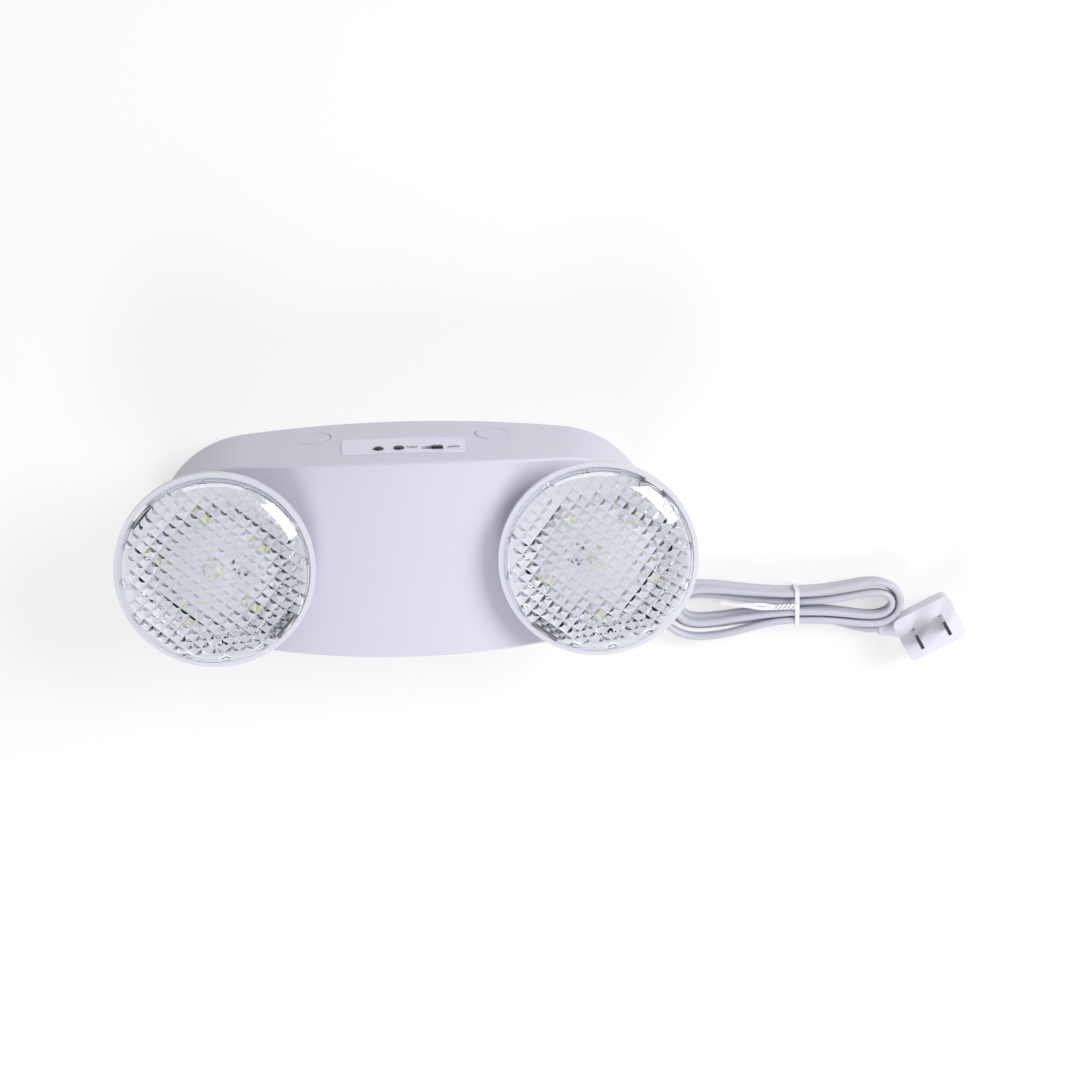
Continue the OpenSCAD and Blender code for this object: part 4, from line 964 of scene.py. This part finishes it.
# Six lamp chips on the board: one in the middle and a ring of five, each a case with a yellow dome
def makeChips(side):
    v = headValues
    base = (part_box("lamp_chips_" + side)[0][2] - joints["pan_" + side]["pos_m"][2]) / mm
    half, high = v["chipCase"] / 2, v["caseHeight"]
    ring = [(v["chipTurns"][side] + k * 360 / v["chipCount"], v["chipRing"]) for k in range(v["chipCount"])]
    cases, domes = [], []
    for angle, r in [(0, 0)] + ring:
        at = turned(angle, "Z") @ moved(r, 0, base)
        block = bevelled(boxPiece("case", (-half, -half, 0), (half, half, high)), v["caseEdge"])
        cases.append(placed(block, at))
        domes.append(placed(chipDome(v), at @ moved(0, 0, high)))
    for name, parts, look, stoodFor in (("chip_cases_", cases, "chipCase", ["lamp_chips_" + side]),
                                        ("chip_domes_", domes, "phosphor", [])):
        piece = joined(name + side, parts)
        smoothByAngle(piece, v["chipSmooth"])
        placed(piece, pinFrame(side))
        dressed(piece, look, "head_" + side, "chip_phosphor", *stoodFor)


# Two dark bars a head at the snap latches, across the lens from one another: painted shade standing for the
# dark inside the latch slots
def makeLatches(side):
    v = headValues
    (low, high), (rLow, rHigh) = v["latchHeights"], v["latchRadii"]
    half = v["latchWidth"] / 2
    bars = []
    for turn in (v["turns"][side], v["turns"][side] + 180):
        bar = bevelled(boxPiece("bar", (rLow, -half, low), (rHigh, half, high)), v["latchEdge"])
        bars.append(placed(bar, turned(turn, "Z")))
    latches = joined("lens_latches_" + side, bars)
    smoothByAngle(latches)
    placed(latches, pinFrame(side))
    # painted shade: the bars stand for the dark inside the latch slots
    dressed(latches, "latch", "head_" + side, "dark_plastic")


def makeHead(side):
    v = headValues
    shell = cadCopy("head_shell_" + side, "head_back_" + side, **v["shellEdges"])
    weighted = shell.modifiers.new("weighted", "WEIGHTED_NORMAL")
    weighted.keep_sharp, weighted.weight = True, v["normalWeight"]
    applied(shell)
    dressed(shell, "headShell", "head_" + side, "head_white", "head_shell_" + side)
    makeLens(side)
    makeLatches(side)
    makeChips(side)
    for node, look, body, slot, edge in v["copies"]:
        piece = cadCopy(node + side, node + "finish_" + side, edge)
        dressed(piece, look, body + side, slot, node + side)


for side in sides:
    makeHead(side)
print("heads made")

# Panel label, its marks, and the small parts behind it
labelValues = {
    "words": [("ON", 3.4), ("OFF", 20.2)], "letter": 2.9, "height": 34.0, "lift": 0.02, "thick": 0.03,
    "around": (5, 4), "edges": {"bevel": 0.05, "segments": 1},
    "caps": {"test_button": {"bevel": 0.4, "segments": 3}, "switch_knob": {"bevel": 0.12}},
}


def labelWord(word, x, face):
    v = labelValues
    curve = bpy.data.curves.new("word", "FONT")
    curve.body, curve.size, curve.align_x, curve.align_y = word, v["letter"] * mm, "CENTER", "CENTER"
    curve.extrude = v["thick"] * mm / 2
    holder = linked("word", curve)
    piece = linked("word_" + word, finishedMesh(holder))
    bpy.data.objects.remove(holder)
    upright = turned(coverValues["draft"], "X") @ turned(180, "Z") @ turned(90, "X")
    return placed(piece, moved(x, face, v["height"]) @ upright)


def makePanel():
    v = labelValues
    label = cadCopy("panel_label", "panel_label_film", **v["edges"])
    dressed(label, "label", "root", "label_film", "panel_label")
    wide, tall = v["around"]
    words = []
    for word, x in v["words"]:
        near = [p.co.y for p in label.data.vertices
                if abs(p.co.x / mm - x) < wide and abs(p.co.z / mm - v["height"]) < tall]
        face = max(near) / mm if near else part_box("panel_label")[1][1] / mm
        words.append(labelWord(word, x, face + v["lift"]))
    dressed(joined("switch_words", words), "ink", "root", "dark_plastic")
    for node, edges in v["caps"].items():
        dressed(cadCopy(node, node + "_cap", **edges), "dark", node, "dark_plastic", node)
    lamp = cadCopy("indicator_lamp", "indicator_cap")
    dressed(lamp, "lampCap", "root", "lamp_lens_dark", "indicator_lamp")


makePanel()
print("panel made")

# Nodes that keep their CAD shape and only get a finish
finishes = {
    "back_plate": "plate", "plate_screws": "zinc", "button_switch": "dark", "slide_switch": "nylon",
    "switch_board": "board", "main_board": "board", "board_screws": "zinc", "transformer_core": "core",
    "transformer_coil": "tape", "capacitors": "sleeve", "relay": "relay", "wire_sockets": "nylon",
    "link_wires": "wireDark", "battery_cells": "cell", "battery_wrap": "wrap", "battery_strap": "zinc",
    "strap_screws": "zinc", "battery_lead": "wireRed", "supply_lead": "cord",
    "lamp_lead_left": "wireWhite", "lamp_lead_right": "wireWhite", "head_lead_left": "wireWhite",
    "head_lead_right": "wireWhite",
}
for node, look in finishes.items():
    painted(nodes[node], look)
glandEdge = 0.15
gland = cadCopy("cord_gland", "cord_gland_moulding", glandEdge)
dressed(gland, "gland", "root", "cord_white", "cord_gland")
print("finishes set")


# Stage: white ground and backdrop, a soft studio and three lamps
stageValues = {
    "floorSize": 6.0, "floorDrop": 0.0002, "floorShade": 0.58, "seenShade": 1.0,
    "floorBody": {"Roughness": 0.9, "Specular IOR Level": 0.1}, "shadowShare": 0.4, "shadowReach": (0.3, 0.6),
    "backdrop": 1.0, "backdropTop": (0.3, 0.45), "soft": (0.985, 0.98, 1, 1), "softLight": 0.37,
    "ceilingLight": 0.16, "aim": (0.02, 0, 0.02), "unmirrored": "fill",
    "lamps": [("key", (1.05, 0.52, 0.98), (0.8, 0.8), 14.6), ("fill", (-0.05, -0.62, 0.5), (0.35, 0.35), 2.8),
              ("edge", (-0.1, 1.25, 0.85), (1.2, 0.25), 2.2)],
}


# 1 for rays from the camera, a mirror or clear plastic
def directRays(tree):
    rays = tree.nodes.new("ShaderNodeLightPath")
    either = rays.outputs["Is Camera Ray"]
    for label in ("Is Transmission Ray", "Is Glossy Ray"):
        either = addNode(tree, "ShaderNodeMath", {"operation": "MAXIMUM"}, i0=either, i1=rays.outputs[label])
    return either


# White where it is seen, with the object's shadow near it, and a greyer bounce on the object
def floorMaterial(v):
    ground = {"Base Color": (v["floorShade"],) * 3 + (1,), **v["floorBody"]}
    material, tree, shader, out = newMaterial("whiteGround", ground)
    shaded = addNode(tree, "ShaderNodeBsdfDiffuse", {"Color": (v["seenShade"],) * 3 + (1,)})
    glow = addNode(tree, "ShaderNodeEmission", {"Color": (1, 1, 1, 1), "Strength": v["backdrop"]})
    place = tree.nodes.new("ShaderNodeTexCoord")
    reach = addNode(tree, "ShaderNodeVectorMath", {"operation": "LENGTH"}, i0=place.outputs["Object"])
    near, far = v["shadowReach"]
    fade = {"From Min": near, "From Max": far, "To Min": v["shadowShare"], "To Max": 0.0}
    share = addNode(tree, "ShaderNodeMapRange", fade, Value=reach.outputs["Value"])
    pick = mixShader(tree, directRays(tree), shader, mixShader(tree, share, glow, shaded))
    tree.links.new(pick.outputs[0], out.inputs[0])
    return material


# White backdrop to the camera, which darkens overhead for mirror rays; soft light for all others
def makeWorld(v):
    world = bpy.data.worlds.new("studio")
    bpy.context.scene.world = world
    world.use_nodes = True
    tree = world.node_tree
    tree.nodes.clear()
    rays = tree.nodes.new("ShaderNodeLightPath")
    place = tree.nodes.new("ShaderNodeTexCoord")
    split = addNode(tree, "ShaderNodeSeparateXYZ", i0=place.outputs["Generated"])
    low, high = v["backdropTop"]
    fade = {"From Min": low, "From Max": high, "To Min": v["backdrop"], "To Max": v["ceilingLight"]}
    above = addNode(tree, "ShaderNodeMapRange", fade, Value=split.outputs[2])
    white = addNode(tree, "ShaderNodeBackground", {"Color": (1, 1, 1, 1), "Strength": v["backdrop"]})
    mirrored = addNode(tree, "ShaderNodeBackground", {"Color": (1, 1, 1, 1)}, Strength=above)
    soft = addNode(tree, "ShaderNodeBackground", {"Color": v["soft"], "Strength": v["softLight"]})
    shiny = mixShader(tree, directRays(tree), soft, mirrored)
    pick = mixShader(tree, rays.outputs["Is Camera Ray"], shiny, white)
    out = tree.nodes.new("ShaderNodeOutputWorld")
    tree.links.new(pick.outputs[0], out.inputs[0])


def makeStage():
    v = stageValues
    half = v["floorSize"] / 2
    corners = [(-half, -half, 0), (half, -half, 0), (half, half, 0), (-half, half, 0)]
    floor = placed(meshFrom("floor", corners, [(0, 1, 2, 3)], 1), Matrix.Translation((0, 0, -v["floorDrop"])))
    floor.data.materials.append(floorMaterial(v))
    makeWorld(v)
    for name, place, size, power in v["lamps"]:
        data = bpy.data.lights.new(name, "AREA")
        data.shape, data.energy = "RECTANGLE", power
        data.size, data.size_y = size
        lamp = linked(name, data)
        lamp.location = place
        lamp.rotation_euler = (Vector(v["aim"]) - Vector(place)).to_track_quat("-Z", "Y").to_euler()
        lamp.visible_glossy = lamp.visible_transmission = name != v["unmirrored"]
    bpy.context.scene.view_settings.view_transform = "Standard"


makeStage()
print("stage set")
